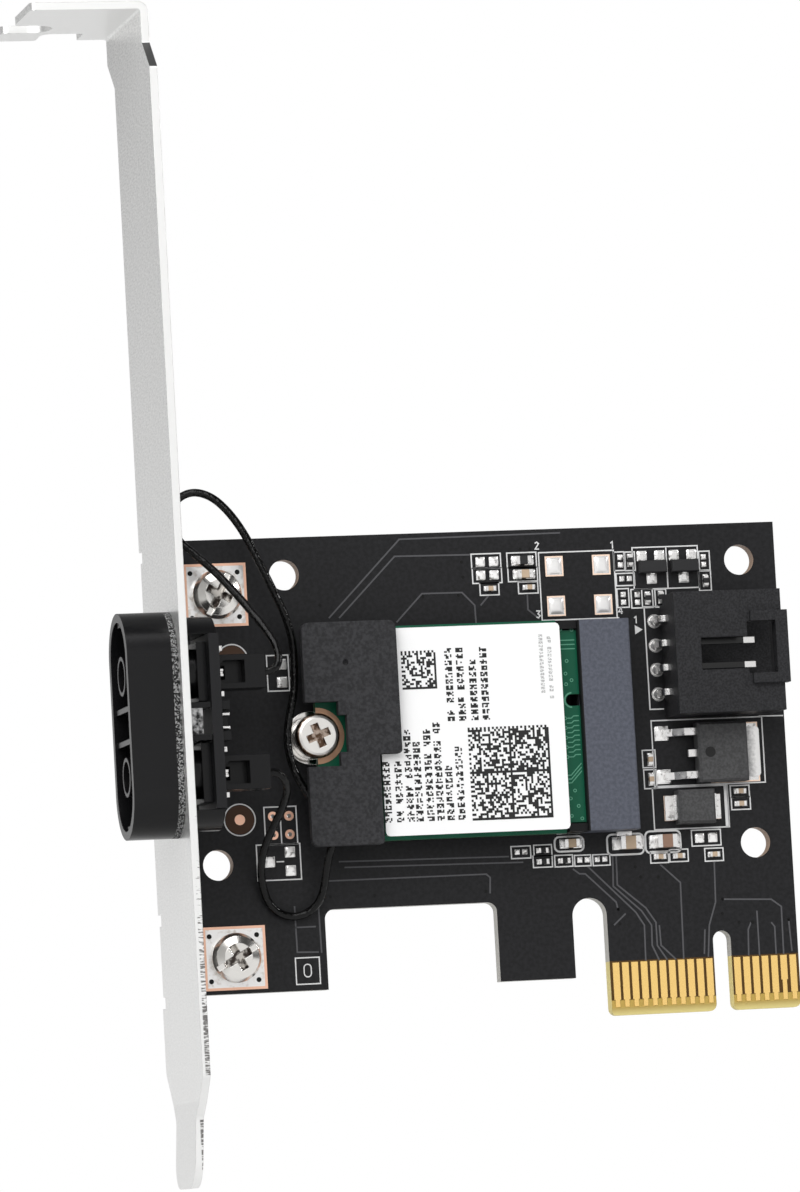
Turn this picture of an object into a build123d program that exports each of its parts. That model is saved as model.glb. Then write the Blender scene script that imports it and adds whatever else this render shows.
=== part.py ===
from build123d import *
import os
from math import pi, radians, sin, sqrt, tan

os.makedirs("parts", exist_ok=True)

# A wireless network card for a one-lane expansion slot, in millimetres.
# X runs along the board from the bracket to its free end, Y away from the component side, Z up the bracket.
# The origin is at the foot of the edge connector, amid its key notch and the board's thickness.

# Circuit board
board_thickness = 1.6
board_left = -56.0
board_top = 50.65
board_step = 4.05
notch_left = -41.95
notch_width = 18.15
notch_top = 12.25
notch_corner = 1.0
relief_width = 3.65
plain_hole = 3.15
plain_hole_right = 4.25
upper_hole_left = -44.3
upper_hole_z = 46.78
lower_hole_left = -52.8
lower_hole_z = 17.25
copper = 0.06
small_sides = 16

# Edge connector
contact_pitch = 1.0
contacts_left = 11
contacts_right = 7
key_gap = 3.0
key_width = 1.9
key_depth = 8.25
contact_margin = 0.65
contact_width = 0.72
contact_top = 5.45
contact_shoulder = 1.6
contact_foot = 0.85
short_shoulder = 2.9
stub_width = 0.48
tongue_corner = 0.6
bevel_height = 0.75
bevel_depth = 0.35

# Bracket
sheet = 0.8
bracket_face = -58.85
bracket_bottom = -15.57
bracket_length = 120.02
bracket_width = 18.42
bend_radius = 0.3
jog_offset = 3.18
jog_near_drop = 7.2
jog_far_drop = 6.45
jog_height = 2.9
jog_radius = 0.4
tongue_width = 9.95
tongue_offset = 4.1
tongue_length = 6.87
tongue_bend_height = 8.57
tongue_lean = 3.5
tongue_tip_radius = 2.6
taper_near_height = 10.97
taper_far_height = 11.87
taper_radius = 1.0
tab_length = 11.3
tab_root = 2.0
hook_reach = 0.65
side_notch_start = 3.1
side_notch_width = 4.4
side_notch_depth = 4.0
screw_slot_width = 4.4
screw_slot_depth = 4.3
screw_slot_from_edge = 6.95
tab_corner = 0.5
hook_corner = 1.2
slot_mouth_corner = 0.8

# Bracket screws, their pads and the ears that they pull against the board
bracket_screw_x = -51.55
upper_screw_z = 44.95
lower_screw_z = 7.7
screw_pad = 6.5
screw_shank = 2.9
board_screw_clearance = 0.25
thread_clearance = 0.05
screw_head = 5.1
screw_head_height = 1.9
screw_head_rim = 0.8
screw_tip = 0.9
screw_recess = 2.8
screw_recess_width = 0.8
screw_recess_depth = 1.1
screw_slot = 0.6
screw_slot_cut = 0.7
upper_screw_turn = 62
lower_screw_turn = 28
ear_height = 7.2
ear_reach = 3.3
ear_corner = 1.0
ear_relief = 1.2
ear_relief_depth = 1.5

# Radio module and its socket
module_length = 30.0
module_width = 22.0
module_thickness = 0.8
module_left = -42.5
module_z = 29.85
module_standing = 2.4
module_tongue_inset = 1.075
module_tongue_length = 4.2
module_key_width = 1.2
module_key_depth = 3.5
module_key_offset = 2.7
module_half_hole = 1.75
module_contact_pitch = 0.5
module_contact_width = 0.32
module_contact_length = 1.6
module_contact_margin = 0.5
shield_left = -36.0
shield_right = -16.75
shield_height = 1.35
shield_wall = 0.2
shield_margin = 0.45
shield_slot = 2.6
shield_slot_height = 0.45
label_thickness = 0.06
label_overhang = 0.1
label_corner = 0.5
socket_left = -14.6
socket_width = 5.55
socket_inset = 0.1
socket_edge = 0.3
socket_height = 4.2
socket_arm = 1.9
socket_arm_height = 3.6
socket_play = 0.12
socket_peg = 1.0
socket_tail_length = 0.9
socket_tail_width = 0.22
socket_tails_fewer = 4
hold_down_length = 1.6
hold_down_reach = 0.45
hold_down_thickness = 0.3

# Standoff and screw of the module
standoff_flange = 5.5
standoff_flange_height = 0.8
standoff_body = 4.4
module_screw_head = 4.6
module_screw_head_height = 1.0
module_screw_rim = 0.5
module_screw_shank = 2.0
module_screw_length = 2.6
module_screw_recess = 2.5
module_screw_recess_width = 0.8
module_screw_recess_depth = 0.6
module_screw_turn = 20

# Cover pad over the lead plugs
pad_thickness = 1.0
pad_left = -44.05
pad_width = 9.9
pad_low_width = 7.55
pad_overhang = 0.45
pad_step_drop = 2.25
pad_corner = 0.8
pad_cut_width = 3.45
pad_cut_height = 6.6
pad_inner_cut = 0.85
pad_inner_height = 3.8
pad_dimple = 0.6
pad_dimple_depth = 0.3
pad_dimple_x = -39.6
pad_dimple_rise = 7.25

# Coaxial receptacles and plugs on the module
plug_x = -39.2
plug_spread = 14.9
receptacle_base = 2.0
receptacle_base_height = 0.3
receptacle_ring = 1.5
receptacle_wall = 0.25
receptacle_height = 0.8
plug_diameter = 2.05
plug_play = 0.04
plug_height = 1.15
plug_lift = 0.35
plug_neck = 0.45
plug_neck_width = 0.95

# Antenna block
jack_y = -11.0
housing_z = 31.0
jack_end_room = 12.7
housing_width = 9.6
housing_height = 22.9
shroud_depth = 4.55
shroud_wall = 0.9
cavity_depth = 3.4
gasket_thickness = 0.7
neck_inset = 0.6
window_clearance = 0.15
rib_room = 0.9
rib_thickness = 0.55
rib_setback = 0.25
key_block = 1.3
cap_taper = 0.8
tube_diameter = 4.0
tube_bore = 3.2
tube_setback = 0.25
tube_play = 0.05
barrel_diameter = 5.0
barrel_floor = 0.9
barrel_base = 6.0
barrel_base_depth = 1.0
jack_pin = 0.9
jack_pin_play = 0.05
jack_pin_reach = 1.1
sleeve_diameter = 2.6
sleeve_wall = 0.25
sleeve_length = 1.9
plate_gap = 2.4
plate_thickness = 1.05
plate_inset = 0.3
cap_height = 2.05
plate_play = 0.05
post_side = 0.5
post_spacing = 4.6
post_reach = 0.7
latch_block_depth = 0.9
latch_block_width = 3.0
latch_room = 0.55
latch_slot_share = 0.55
latch_pin_share = 0.18
spring_thickness = 0.3
spring_length = 1.5
holder_length = 5.25
holder_width = 3.4
holder_height = 3.45
holder_window_start = 1.0
holder_window_length = 2.1
holder_window_height = 2.3
holder_throat_height = 1.4
holder_window_depth = 1.6
fork_thickness = 0.25
fork_gap = 0.25
fork_length = 1.1
lead_diameter = 0.81
lead_sides = 8

# Four-pin header
header_pin_pitch = 2.54
header_pin_count = 4
header_pin = 0.64
header_pin_x = -5.25
header_z = 36.85
header_back = -4.6
header_length = 11.45
header_width = 12.6
header_height = 5.6
header_wall = 0.9
header_back_wall = 2.2
header_pin_height = 2.8
header_pin_tip = 2.3
header_pin_tail = 1.0
header_pin_bend = 0.7
header_hole = 1.05
header_window_length = 5.0
header_window_height = 3.35
header_window_offset = -0.2
header_mouth_height = 5.4
header_mouth_lead = 0.3
header_corner_relief = 0.9
header_corner_height = 1.2
header_bridge_length = 3.45
header_bridge_height = 7.5
header_bridge_offset = 0.3
header_bridge_bar = 1.3
header_bridge_rise = 0.5
header_bridge_reach = 0.5
collar_diameter = 1.28
collar_height = 0.6
collar_taper = 8.75
collar_play = 0.02

# Regulator, diode and transistors
regulator_x = 0.75
regulator_z = 26.7
regulator_length = 5.3
regulator_width = 6.2
regulator_height = 2.3
regulator_edge = 0.25
regulator_tab_reach = 1.75
regulator_tab_width = 5.2
regulator_tab_thickness = 0.5
regulator_lead_pitch = 2.25
regulator_lead_width = 0.75
regulator_lead_reach = 3.3
regulator_lead_foot = 1.3
regulator_lead_height = 0.95
regulator_stub = 0.9
diode_x = -2.35
diode_z = 21.15
diode_length = 3.9
diode_width = 3.5
diode_height = 2.2
diode_draft = 0.25
diode_terminal = 1.55
diode_terminal_width = 2.55
diode_terminal_thickness = 0.3
transistor_rise = 5.45
transistor_spacing = 3.45
transistor_first_x = -5.25
transistor_length = 2.9
transistor_width = 1.3
transistor_height = 1.0
transistor_lead_pitch = 1.9
transistor_lead_width = 0.45
transistor_lead_reach = 0.75
transistor_lead_thickness = 0.15
transistor_lead_height = 0.5

# Chip parts: length, width and height by size, and the share of the length under each end cap
small_chip_length = 1.0
small_chip_width = 0.5
small_chip_height = 0.4
medium_chip_length = 1.6
medium_chip_width = 0.85
medium_chip_height = 0.7
large_chip_length = 2.1
large_chip_width = 1.35
large_chip_height = 1.25
chip_cap_share = 0.24

# Places of the chip parts on the board: x, z and the turn of the long side.
# Two rows lie below the module's socket. The others lie above it, with the crystal's empty footprint.
high_row_gap = 1.2
row_pitch = 1.55
crystal_rise = 3.82
module_top = module_z + module_width / 2
header_high = header_z + header_width / 2
high_row = module_z - module_width / 2 + socket_inset - high_row_gap
low_row = high_row - row_pitch
small_resistors = [
    (-7.5, module_top + 6.25, 90),
    (-5.85, header_high - 0.05, 90),
    (-4.4, header_high, 90),
    (0.5, module_top + 3.85, 90),
    (-18.6, high_row - 0.4, 0),
    (-18.6, low_row, 0),
    (-16.35, low_row, 0),
]
medium_resistors = [(-19.0, module_top + 6.6, 0)]
small_capacitors = [
    (-22.6, module_top + 3.8, 0),
    (-18.45, module_top + 3.8, 0),
    (-6.1, low_row, 0),
    (-4.05, low_row, 0),
    (-6.6, 26.3, 90),
    (-6.6, 24.25, 90),
    (2.9, 22.65, 0),
    (2.9, 21.35, 0),
    (-0.3, low_row, 0),
]
medium_capacitors = [(-18.9, module_top + 5.18, 0), (-15.55, high_row + 0.2, 0)]
large_capacitors = [(-9.45, high_row, 0), (-5.5, high_row, 0)]

# Bare footprints: the middle of each pair of pads and the turn of the pair
small_pairs = [
    (-8.53, module_top + 6.2, 90),
    (-8.06, module_top + 4.35, 0),
    (-8.42, header_high, 90),
    (-6.92, header_high - 0.05, 90),
    (0.43, module_top + 5.95, 90),
    (-20.9, high_row - 0.45, 0),
    (-14.3, low_row, 0),
    (-12.43, low_row, 0),
]
medium_pairs = [
    (-22.78, module_top + 6.6, 0),
    (-22.8, module_top + 5.2, 0),
    (-1.05, high_row + 0.2, 0),
]
small_pad = 0.55
small_pad_spacing = 0.8
medium_pad = 0.98
medium_pad_spacing = 1.42
large_pad = 1.35
large_pad_spacing = 2.4
crystal_x = -13.12
crystal_z = module_top + crystal_rise
transistor_z = module_top + transistor_rise
crystal_pad_width = 1.92
crystal_pad_height = 2.1
crystal_pad_pitch_x = 5.05
crystal_pad_pitch_z = 4.15
square_pads = [
    (-45.1, 37.6),
    (-45.1, 35.75),
    (-45.25, low_row + 2.1),
    (-47.4, low_row + 1.15),
    (-45.25, low_row + 0.2),
]
square_pad = 1.08
transistor_pad = 1.08
eyelet_x = -46.0
eyelet_rise = 4.86
eyelet_z = low_row + eyelet_rise
eyelet_pitch_x = 1.7
eyelet_pitch_z = 1.9
eyelet_ring = 1.0
eyelet_hole = 0.45
fiducial_dot = 1.1
fiducials = [(-50.3, 21.8), (-50.2, 38.2)]

# Routes of the two coaxial leads, from their holders to the plugs on the module
upper_route = [
    (-49.35, -11.0, 36.1),
    (-48.15, -11.0, 36.1),
    (-47.4, -10.75, 37.2),
    (-47.55, -10.2, 38.7),
    (-48.2, -9.4, 40.3),
    (-49.2, -8.5, 41.95),
    (-50.6, -7.2, 44.2),
    (-52.5, -5.6, 46.9),
    (-54.2, -4.4, 48.8),
    (-55.8, -3.6, 50.4),
    (-56.55, -3.2, 52.5),
    (-55.9, -3.0, 54.5),
    (-54.1, -3.05, 55.5),
    (-52.1, -3.4, 54.95),
    (-50.4, -3.9, 53.2),
    (-48.9, -4.4, 50.7),
    (-47.5, -4.9, 47.3),
    (-46.3, -5.1, 44.5),
    (-45.3, -5.1, 42.2),
    (-44.65, -4.9, 39.6),
    (-44.6, -4.65, 36.9),
    (-44.7, -4.55, 34.4),
    (-45.3, -4.5, 32.2),
    (-45.75, -4.5, 29.8),
    (-45.5, -4.55, 27.4),
    (-44.7, -4.65, 25.2),
    (-43.5, -4.75, 23.3),
    (-42.0, -4.75, 22.4),
    (-40.675, -4.75, 22.4),
]
lower_route = [
    (-49.35, -11.0, 25.9),
    (-48.3, -11.0, 25.9),
    (-47.45, -10.5, 25.1),
    (-46.95, -9.3, 24.2),
    (-47.05, -7.7, 22.9),
    (-47.5, -6.3, 21.5),
    (-48.2, -4.9, 19.9),
    (-48.8, -3.4, 17.7),
    (-48.75, -2.3, 15.5),
    (-48.05, -1.65, 13.2),
    (-46.75, -1.4, 11.9),
    (-44.95, -1.4, 11.52),
    (-43.3, -1.65, 12.25),
    (-42.4, -2.4, 13.6),
    (-42.2, -3.6, 15.9),
    (-41.9, -4.6, 18.1),
    (-40.9, -4.85, 19.9),
    (-38.9, -4.75, 20.5),
    (-37.3, -4.7, 22.1),
    (-36.85, -4.68, 24.8),
    (-36.95, -4.7, 28.2),
    (-37.4, -4.72, 31.0),
    (-38.4, -4.75, 33.0),
    (-39.2, -4.75, 34.5),
    (-39.2, -4.75, 35.825),
]

# Places worked out from the sizes above
board_front = -board_thickness / 2
board_back = board_thickness / 2
front_plane = Plane.XZ.offset(-board_front)
back_plane = Plane.XZ.offset(-board_back)
left_contacts = [-key_gap / 2 - contact_pitch * i for i in range(contacts_left)]
right_contacts = [key_gap / 2 + contact_pitch * i for i in range(contacts_right)]
tongue_left = min(left_contacts) - contact_margin
board_right = max(right_contacts) + contact_margin
board_screw_hole = screw_shank + 2 * board_screw_clearance
screw_rows = (upper_screw_z, lower_screw_z)
plain_holes = [
    (upper_hole_left, upper_hole_z),
    (plain_hole_right, upper_hole_z),
    (lower_hole_left, lower_hole_z),
    (plain_hole_right, lower_hole_z),
]
far_edge = board_back + sheet
near_edge = far_edge - bracket_width
bracket_inner = bracket_face + sheet
bracket_top = bracket_bottom + bracket_length
tongue_shoulder = bracket_bottom + tongue_length
tongue_bend = bracket_bottom + tongue_bend_height
taper_near = bracket_bottom + taper_near_height
taper_far = bracket_bottom + taper_far_height
jog_near_low = bracket_top - jog_near_drop
jog_far_low = bracket_top - jog_far_drop
seat = board_front - copper
module_back = board_front - module_standing
module_front = module_back - module_thickness
module_right = module_left + module_length
module_tongue_width = module_width - 2 * module_tongue_inset
contact_run = module_tongue_width - module_contact_width - 2 * module_contact_margin
module_contact_count = int(contact_run / module_contact_pitch) + 1
socket_tail_count = module_contact_count - socket_tails_fewer
socket_length = module_width - 2 * socket_inset
pad_height = module_width + 2 * pad_overhang
pad_step = module_z - pad_step_drop
plug_rows = (module_z + plug_spread / 2, module_z - plug_spread / 2)
module_shoulder = module_right - module_tongue_length
module_mid = (module_back + module_front) / 2
shield_top = module_front - shield_height
label_top = shield_top - label_thickness
socket_right = socket_left + socket_width
neck_width = housing_width - 2 * neck_inset
neck_height = housing_height - 2 * neck_inset
plate_width = housing_width - 2 * plate_inset
plate_height = neck_height - 2 * cap_height
jack_spacing = housing_height - jack_end_room
latch_block_height = jack_spacing - post_spacing - post_side - 2 * latch_room
latch_slot = latch_block_height * latch_slot_share
latch_pin = latch_slot * latch_pin_share
rib_spacing = jack_spacing - barrel_base - rib_room
jack_rows = (housing_z + jack_spacing / 2, housing_z - jack_spacing / 2)
gasket_face = bracket_face - gasket_thickness
rim_face = gasket_face - shroud_depth
cavity_floor = rim_face + cavity_depth
plate_front = bracket_inner + plate_gap
plate_back = plate_front + plate_thickness
tube_end = rim_face + tube_setback
bore_floor = bracket_face - barrel_floor
bore_step = bore_floor - sleeve_length
header_front = header_back + header_length
header_axis = board_front - header_pin_height
header_top = board_front - header_height
header_rows = [
    header_z + header_pin_pitch * (i - (header_pin_count - 1) / 2) for i in range(header_pin_count)
]
lead_corner = lead_diameter / 2 * sqrt(2 * pi / lead_sides / sin(2 * pi / lead_sides))
transistor_places = [transistor_first_x + transistor_spacing * i for i in range(2)]


def pan_screw(x, y, z, head, head_height, rim, shank, length, cross, cross_width, cross_depth, turn, cuts=()):
    """A pan-head screw along Y with its seat at y: a revolved head with a cross recess and any slots."""
    with BuildPart() as screw:
        with BuildSketch(Plane((x, y, z))):
            with BuildLine():
                Polyline(
                    (0, -head_height),
                    (0, length),
                    (shank / 2, length),
                    (shank / 2, 0),
                    (head / 2, 0),
                    (head / 2, -rim),
                    (head / 2 - 0.3 * (head_height - rim), -0.3 * rim - 0.7 * head_height),
                    (head / 2 - head_height + rim, -head_height),
                    close=True,
                )
            make_face()
        revolve(axis=Axis((x, y, z), (0, 1, 0)))
        with BuildSketch(Plane((x, y - head_height - rim, z), x_dir=(1, 0, 0), z_dir=(0, -1, 0))):
            Rectangle(cross, cross_width, rotation=turn)
            Rectangle(cross, cross_width, rotation=turn + 90)
        extrude(amount=-cross_depth - rim, mode=Mode.SUBTRACT)
        for cut_width, cut_depth in cuts:
            with BuildSketch(Plane((x, y - head_height - rim, z), x_dir=(1, 0, 0), z_dir=(0, -1, 0))):
                Rectangle(2 * head, cut_width, rotation=turn)
            extrude(amount=-cut_depth - rim, mode=Mode.SUBTRACT)
    return screw.part


def chips(places, length, width, height, cap_share):
    """Ceramic bodies and end caps of chip parts of one size, standing on their pads."""
    cap = length * cap_share
    with BuildPart() as bodies:
        for x, z, turn in places:
            with Locations(Location((x, seat, z), (0, turn, 0))):
                Box(length - 2 * cap, height, width, align=(Align.CENTER, Align.MAX, Align.CENTER))
    with BuildPart() as caps:
        for x, z, turn in places:
            with Locations(Location((x, seat, z), (0, turn, 0))):
                with GridLocations(length - cap, 1, 2, 1):
                    Box(cap, height, width, align=(Align.CENTER, Align.MAX, Align.CENTER))
    return bodies.part, caps.part


def lead_tube(route):
    """A lead along straight runs joined by the largest tangent arcs that the runs allow.
    Its section has eight sides and the area of the round lead."""
    radii = []
    for before, here, after in zip(route, route[1:], route[2:]):
        arriving = Vector(here) - Vector(before)
        leaving = Vector(after) - Vector(here)
        half_turn = radians(arriving.get_angle(leaving)) / 2
        radii.append(0.45 * min(arriving.length, leaving.length) / tan(half_turn))
    with BuildPart() as tube:
        with BuildLine() as path:
            FilletPolyline(*route, radius=radii)
        with BuildSketch(Plane(path.wire() @ 0, z_dir=path.wire() % 0)):
            RegularPolygon(lead_corner, lead_sides)
        sweep(path=path.wire())
    length = path.wire().length
    section = Circle(lead_diameter / 2, mode=Mode.PRIVATE).area
    print("radii", [round(radius, 2) for radius in radii])
    print("length", round(length, 2), "volume ratio", round(tube.part.volume / (section * length), 4))
    return tube.part


# Bracket: one folded sheet with the tab bent outwards, two ears behind the board and a leaning tongue
lean = tan(radians(tongue_lean)) * (tongue_bend - bracket_bottom)
tab_end = bracket_face - tab_length
hook_end = tab_end - hook_reach
tab_far = far_edge + jog_offset
tab_near = near_edge + jog_offset
tongue_near = near_edge + tongue_offset
tongue_far = tongue_near + tongue_width
notch_start = bracket_face - side_notch_start
notch_end = notch_start - side_notch_width
slot_mid = tab_far - screw_slot_from_edge
slot_end = tab_end + screw_slot_depth
with BuildPart() as bracket:
    with BuildSketch(Plane.XZ.offset(-tab_far)):
        with BuildLine():
            FilletPolyline(
                (bracket_face - tab_root, bracket_top - sheet),
                (bracket_face - tab_root, bracket_top),
                (bracket_inner, bracket_top),
                (bracket_inner, tongue_bend),
                (bracket_inner - lean, bracket_bottom),
                (bracket_face - lean, bracket_bottom),
                (bracket_face, tongue_bend),
                (bracket_face, bracket_top - sheet),
                radius=(0, 0, bend_radius + sheet, 0, 0, 0, 0, bend_radius),
                close=True,
            )
        make_face()
    extrude(amount=tab_far - near_edge)
    with BuildSketch(Plane.YZ.offset(bracket_face - tab_root)):
        with BuildLine():
            FilletPolyline(
                (near_edge, taper_near),
                (near_edge, jog_near_low),
                (tab_near, jog_near_low + jog_height),
                (tab_near, bracket_top + sheet),
                (tab_far, bracket_top + sheet),
                (tab_far, jog_far_low + jog_height),
                (far_edge, jog_far_low),
                (far_edge, taper_far),
                (tongue_far, tongue_shoulder),
                (tongue_far, bracket_bottom),
                (tongue_near, bracket_bottom),
                (tongue_near, tongue_shoulder),
                radius=(
                    taper_radius, jog_radius, jog_radius, 0, 0, jog_radius, jog_radius,
                    taper_radius, taper_radius, tongue_tip_radius, tongue_tip_radius, taper_radius,
                ),
                close=True,
            )
        make_face()
    extrude(amount=tab_root + sheet, mode=Mode.INTERSECT)
    with BuildSketch(Plane.XY.offset(bracket_top - sheet)):
        with BuildLine():
            FilletPolyline(
                (bracket_face - tab_root / 2, tab_far),
                (notch_start, tab_far),
                (notch_start, tab_far - side_notch_depth),
                (notch_end, tab_far - side_notch_depth),
                (notch_end, tab_far),
                (hook_end, tab_far),
                (hook_end, slot_mid + screw_slot_width / 2),
                (slot_end, slot_mid + screw_slot_width / 2),
                (slot_end, slot_mid - screw_slot_width / 2),
                (tab_end, slot_mid - screw_slot_width / 2),
                (tab_end, tab_near),
                (bracket_face - tab_root / 2, tab_near),
                radius=(
                    0, 0, tab_corner, hook_corner, tab_corner, hook_corner, slot_mouth_corner,
                    0.48 * screw_slot_width, 0.48 * screw_slot_width, slot_mouth_corner, tab_corner, 0,
                ),
                close=True,
            )
        make_face()
    extrude(amount=sheet)
    with BuildSketch(back_plane.offset(-sheet)):
        ear_length = bracket_screw_x + ear_reach - bracket_face
        with Locations(*[(bracket_face, row) for row in screw_rows]):
            Rectangle(ear_length, ear_height, align=(Align.MIN, Align.CENTER))
        with Locations(*[(bracket_screw_x, row) for row in screw_rows]):
            Circle(screw_shank / 2 + thread_clearance, mode=Mode.SUBTRACT)
    extrude(amount=sheet)
    with BuildSketch(Plane.YZ.offset(bracket_face)):
        with Locations((jack_y, housing_z)):
            SlotOverall(neck_height + 2 * window_clearance, neck_width + 2 * window_clearance, rotation=90)
        for row in screw_rows:
            with Locations((far_edge, row)):
                with GridLocations(1, ear_height + ear_relief, 1, 2):
                    Rectangle(2 * ear_relief_depth, ear_relief)
    extrude(amount=sheet, mode=Mode.SUBTRACT)
    fillet(bracket.edges().filter_by(Axis.Y).group_by(Axis.X)[-1], ear_corner)
    ear_bends = bracket.edges().filter_by(Axis.Z).filter_by(lambda edge: abs(edge.length - ear_height) < 0.01)
    fillet(ear_bends.group_by(Axis.X)[0].group_by(Axis.Y)[-1], 0.75 * sheet)
bracket.part.label = "bracket"
export_step(bracket.part, "parts/bracket.step")

# Circuit board with the edge connector's tongue, its key and the two cut-outs beside it
with BuildPart() as circuit_board:
    with BuildSketch(back_plane):
        with Locations((board_left, board_step)):
            Rectangle(board_right - board_left, board_top - board_step, align=(Align.MIN, Align.MIN))
        with Locations((tongue_left, 0)):
            Rectangle(board_right - tongue_left, board_step, align=(Align.MIN, Align.MIN))
        with Locations((notch_left, notch_top)):
            notch_run = notch_top - board_step + 2 * notch_corner
            low_left = (Align.MIN, Align.MAX)
            RectangleRounded(notch_width, notch_run, notch_corner, align=low_left, mode=Mode.SUBTRACT)
        relief_cut = (tongue_left - relief_width / 2, relief_width, notch_top)
        for middle, width, top in (relief_cut, (0, key_width, key_depth)):
            with Locations((middle, top - width / 2)):
                Circle(width / 2, mode=Mode.SUBTRACT)
                Rectangle(width, top - width / 2, align=(Align.CENTER, Align.MAX), mode=Mode.SUBTRACT)
        with Locations(*plain_holes):
            Circle(plain_hole / 2, mode=Mode.SUBTRACT)
        with Locations(*[(bracket_screw_x, row) for row in screw_rows]):
            Circle(board_screw_hole / 2, mode=Mode.SUBTRACT)
        with Locations(*[(header_pin_x, row) for row in header_rows]):
            RegularPolygon(header_hole / 2, small_sides, mode=Mode.SUBTRACT)
        with Locations((eyelet_x, eyelet_z)):
            with GridLocations(eyelet_pitch_x, eyelet_pitch_z, 2, 2):
                RegularPolygon(eyelet_hole / 2, small_sides, mode=Mode.SUBTRACT)
        with Locations((socket_left + socket_width / 2, module_z)):
            with GridLocations(1, socket_length - 3 * socket_peg, 1, 2):
                Circle(socket_peg / 2 + socket_play, mode=Mode.SUBTRACT)
    extrude(amount=board_thickness)
    fillet(circuit_board.edges().filter_by(Axis.Y).group_by(Axis.Z)[0], tongue_corner)
    bevel_run = bevel_depth / bevel_height
    with BuildSketch(Plane.YZ.offset(tongue_left)):
        for side in (-1, 1):
            with BuildLine():
                Polyline(
                    (side * board_back, bevel_height),
                    (side * (board_back + 1), bevel_height),
                    (side * (board_back + 1), -1),
                    (side * (board_back - bevel_depth - bevel_run), -1),
                    close=True,
                )
            make_face()
    extrude(amount=board_right - tongue_left, mode=Mode.SUBTRACT)
circuit_board.part.label = "circuit_board"
export_step(circuit_board.part, "parts/circuit_board.step")

# Tinned pads under the heads of the bracket screws
with BuildPart() as screw_pads:
    with BuildSketch(front_plane):
        with Locations(*[(bracket_screw_x, row) for row in screw_rows]):
            Rectangle(screw_pad, screw_pad)
            Circle(board_screw_hole / 2, mode=Mode.SUBTRACT)
    extrude(amount=copper)
screw_pads.part.label = "screw_pads"
export_step(screw_pads.part, "parts/screw_pads.step")

# Gold contacts of the edge connector on both faces: a wide blade with a narrow plating stub below it
contact_columns = left_contacts + right_contacts
short_column = right_contacts[-2]
with BuildPart() as edge_contacts_front:
    with BuildSketch(front_plane):
        for column in contact_columns:
            shoulder = short_shoulder if column == short_column else contact_shoulder
            with Locations((column, contact_top)):
                Rectangle(contact_width, contact_top - shoulder, align=(Align.CENTER, Align.MAX))
                Rectangle(stub_width, contact_top - contact_foot, align=(Align.CENTER, Align.MAX))
    extrude(amount=copper)
edge_contacts_front.part.label = "edge_contacts_front"
export_step(edge_contacts_front.part, "parts/edge_contacts_front.step")

with BuildPart() as edge_contacts_back:
    with BuildSketch(back_plane):
        for column in contact_columns:
            shoulder = short_shoulder if column == left_contacts[-1] else contact_shoulder
            with Locations((column, contact_top)):
                Rectangle(contact_width, contact_top - shoulder, align=(Align.CENTER, Align.MAX))
                Rectangle(stub_width, contact_top - contact_foot, align=(Align.CENTER, Align.MAX))
    extrude(amount=-copper)
edge_contacts_back.part.label = "edge_contacts_back"
export_step(edge_contacts_back.part, "parts/edge_contacts_back.step")

# Screws that hold the board to the bracket's ears
screw_length = copper + board_thickness + sheet + screw_tip
bracket_screw_list = [
    pan_screw(
        bracket_screw_x, seat, row, screw_head, screw_head_height, screw_head_rim, screw_shank, screw_length,
        screw_recess, screw_recess_width, screw_recess_depth, turn, [(screw_slot, screw_slot_cut)],
    )
    for row, turn in zip(screw_rows, (upper_screw_turn, lower_screw_turn))
]
with BuildPart() as bracket_screws:
    add(bracket_screw_list)
bracket_screws.part.label = "bracket_screws"
export_step(bracket_screws.part, "parts/bracket_screws.step")

# Radio module: its board with the half-round screw hole, the narrow contact tongue and the key slot
with BuildPart() as module_board:
    with BuildSketch(Plane.XZ.offset(-module_back)):
        with Locations((module_left, module_z)):
            wide_run = module_length - module_tongue_length
            Rectangle(wide_run, module_width, align=(Align.MIN, Align.CENTER))
            Rectangle(module_length, module_tongue_width, align=(Align.MIN, Align.CENTER))
            Circle(module_half_hole, mode=Mode.SUBTRACT)
        key_end = module_right - module_key_depth + module_key_width / 2
        with Locations((key_end, module_z + module_key_offset)):
            Circle(module_key_width / 2, mode=Mode.SUBTRACT)
            Rectangle(module_key_depth, module_key_width, align=(Align.MIN, Align.CENTER), mode=Mode.SUBTRACT)
    extrude(amount=module_thickness)
module_board.part.label = "module_board"
export_step(module_board.part, "parts/module_board.step")

# Contact strips on the module's tongue, clear of the key slot
first_strip = module_z - module_contact_pitch * (module_contact_count - 1) / 2
strip_rows = [first_strip + module_contact_pitch * i for i in range(module_contact_count)]
key_middle = module_z + module_key_offset
key_room = module_key_width / 2 + module_contact_width
strip_rows = [row for row in strip_rows if abs(row - key_middle) > key_room]
with BuildPart() as module_contacts:
    with BuildSketch(Plane.XZ.offset(-module_front)):
        with Locations(*[(module_right - module_contact_width, row) for row in strip_rows]):
            Rectangle(module_contact_length, module_contact_width, align=(Align.MAX, Align.CENTER))
    extrude(amount=copper)
module_contacts.part.label = "module_contacts"
export_step(module_contacts.part, "parts/module_contacts.step")

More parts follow.
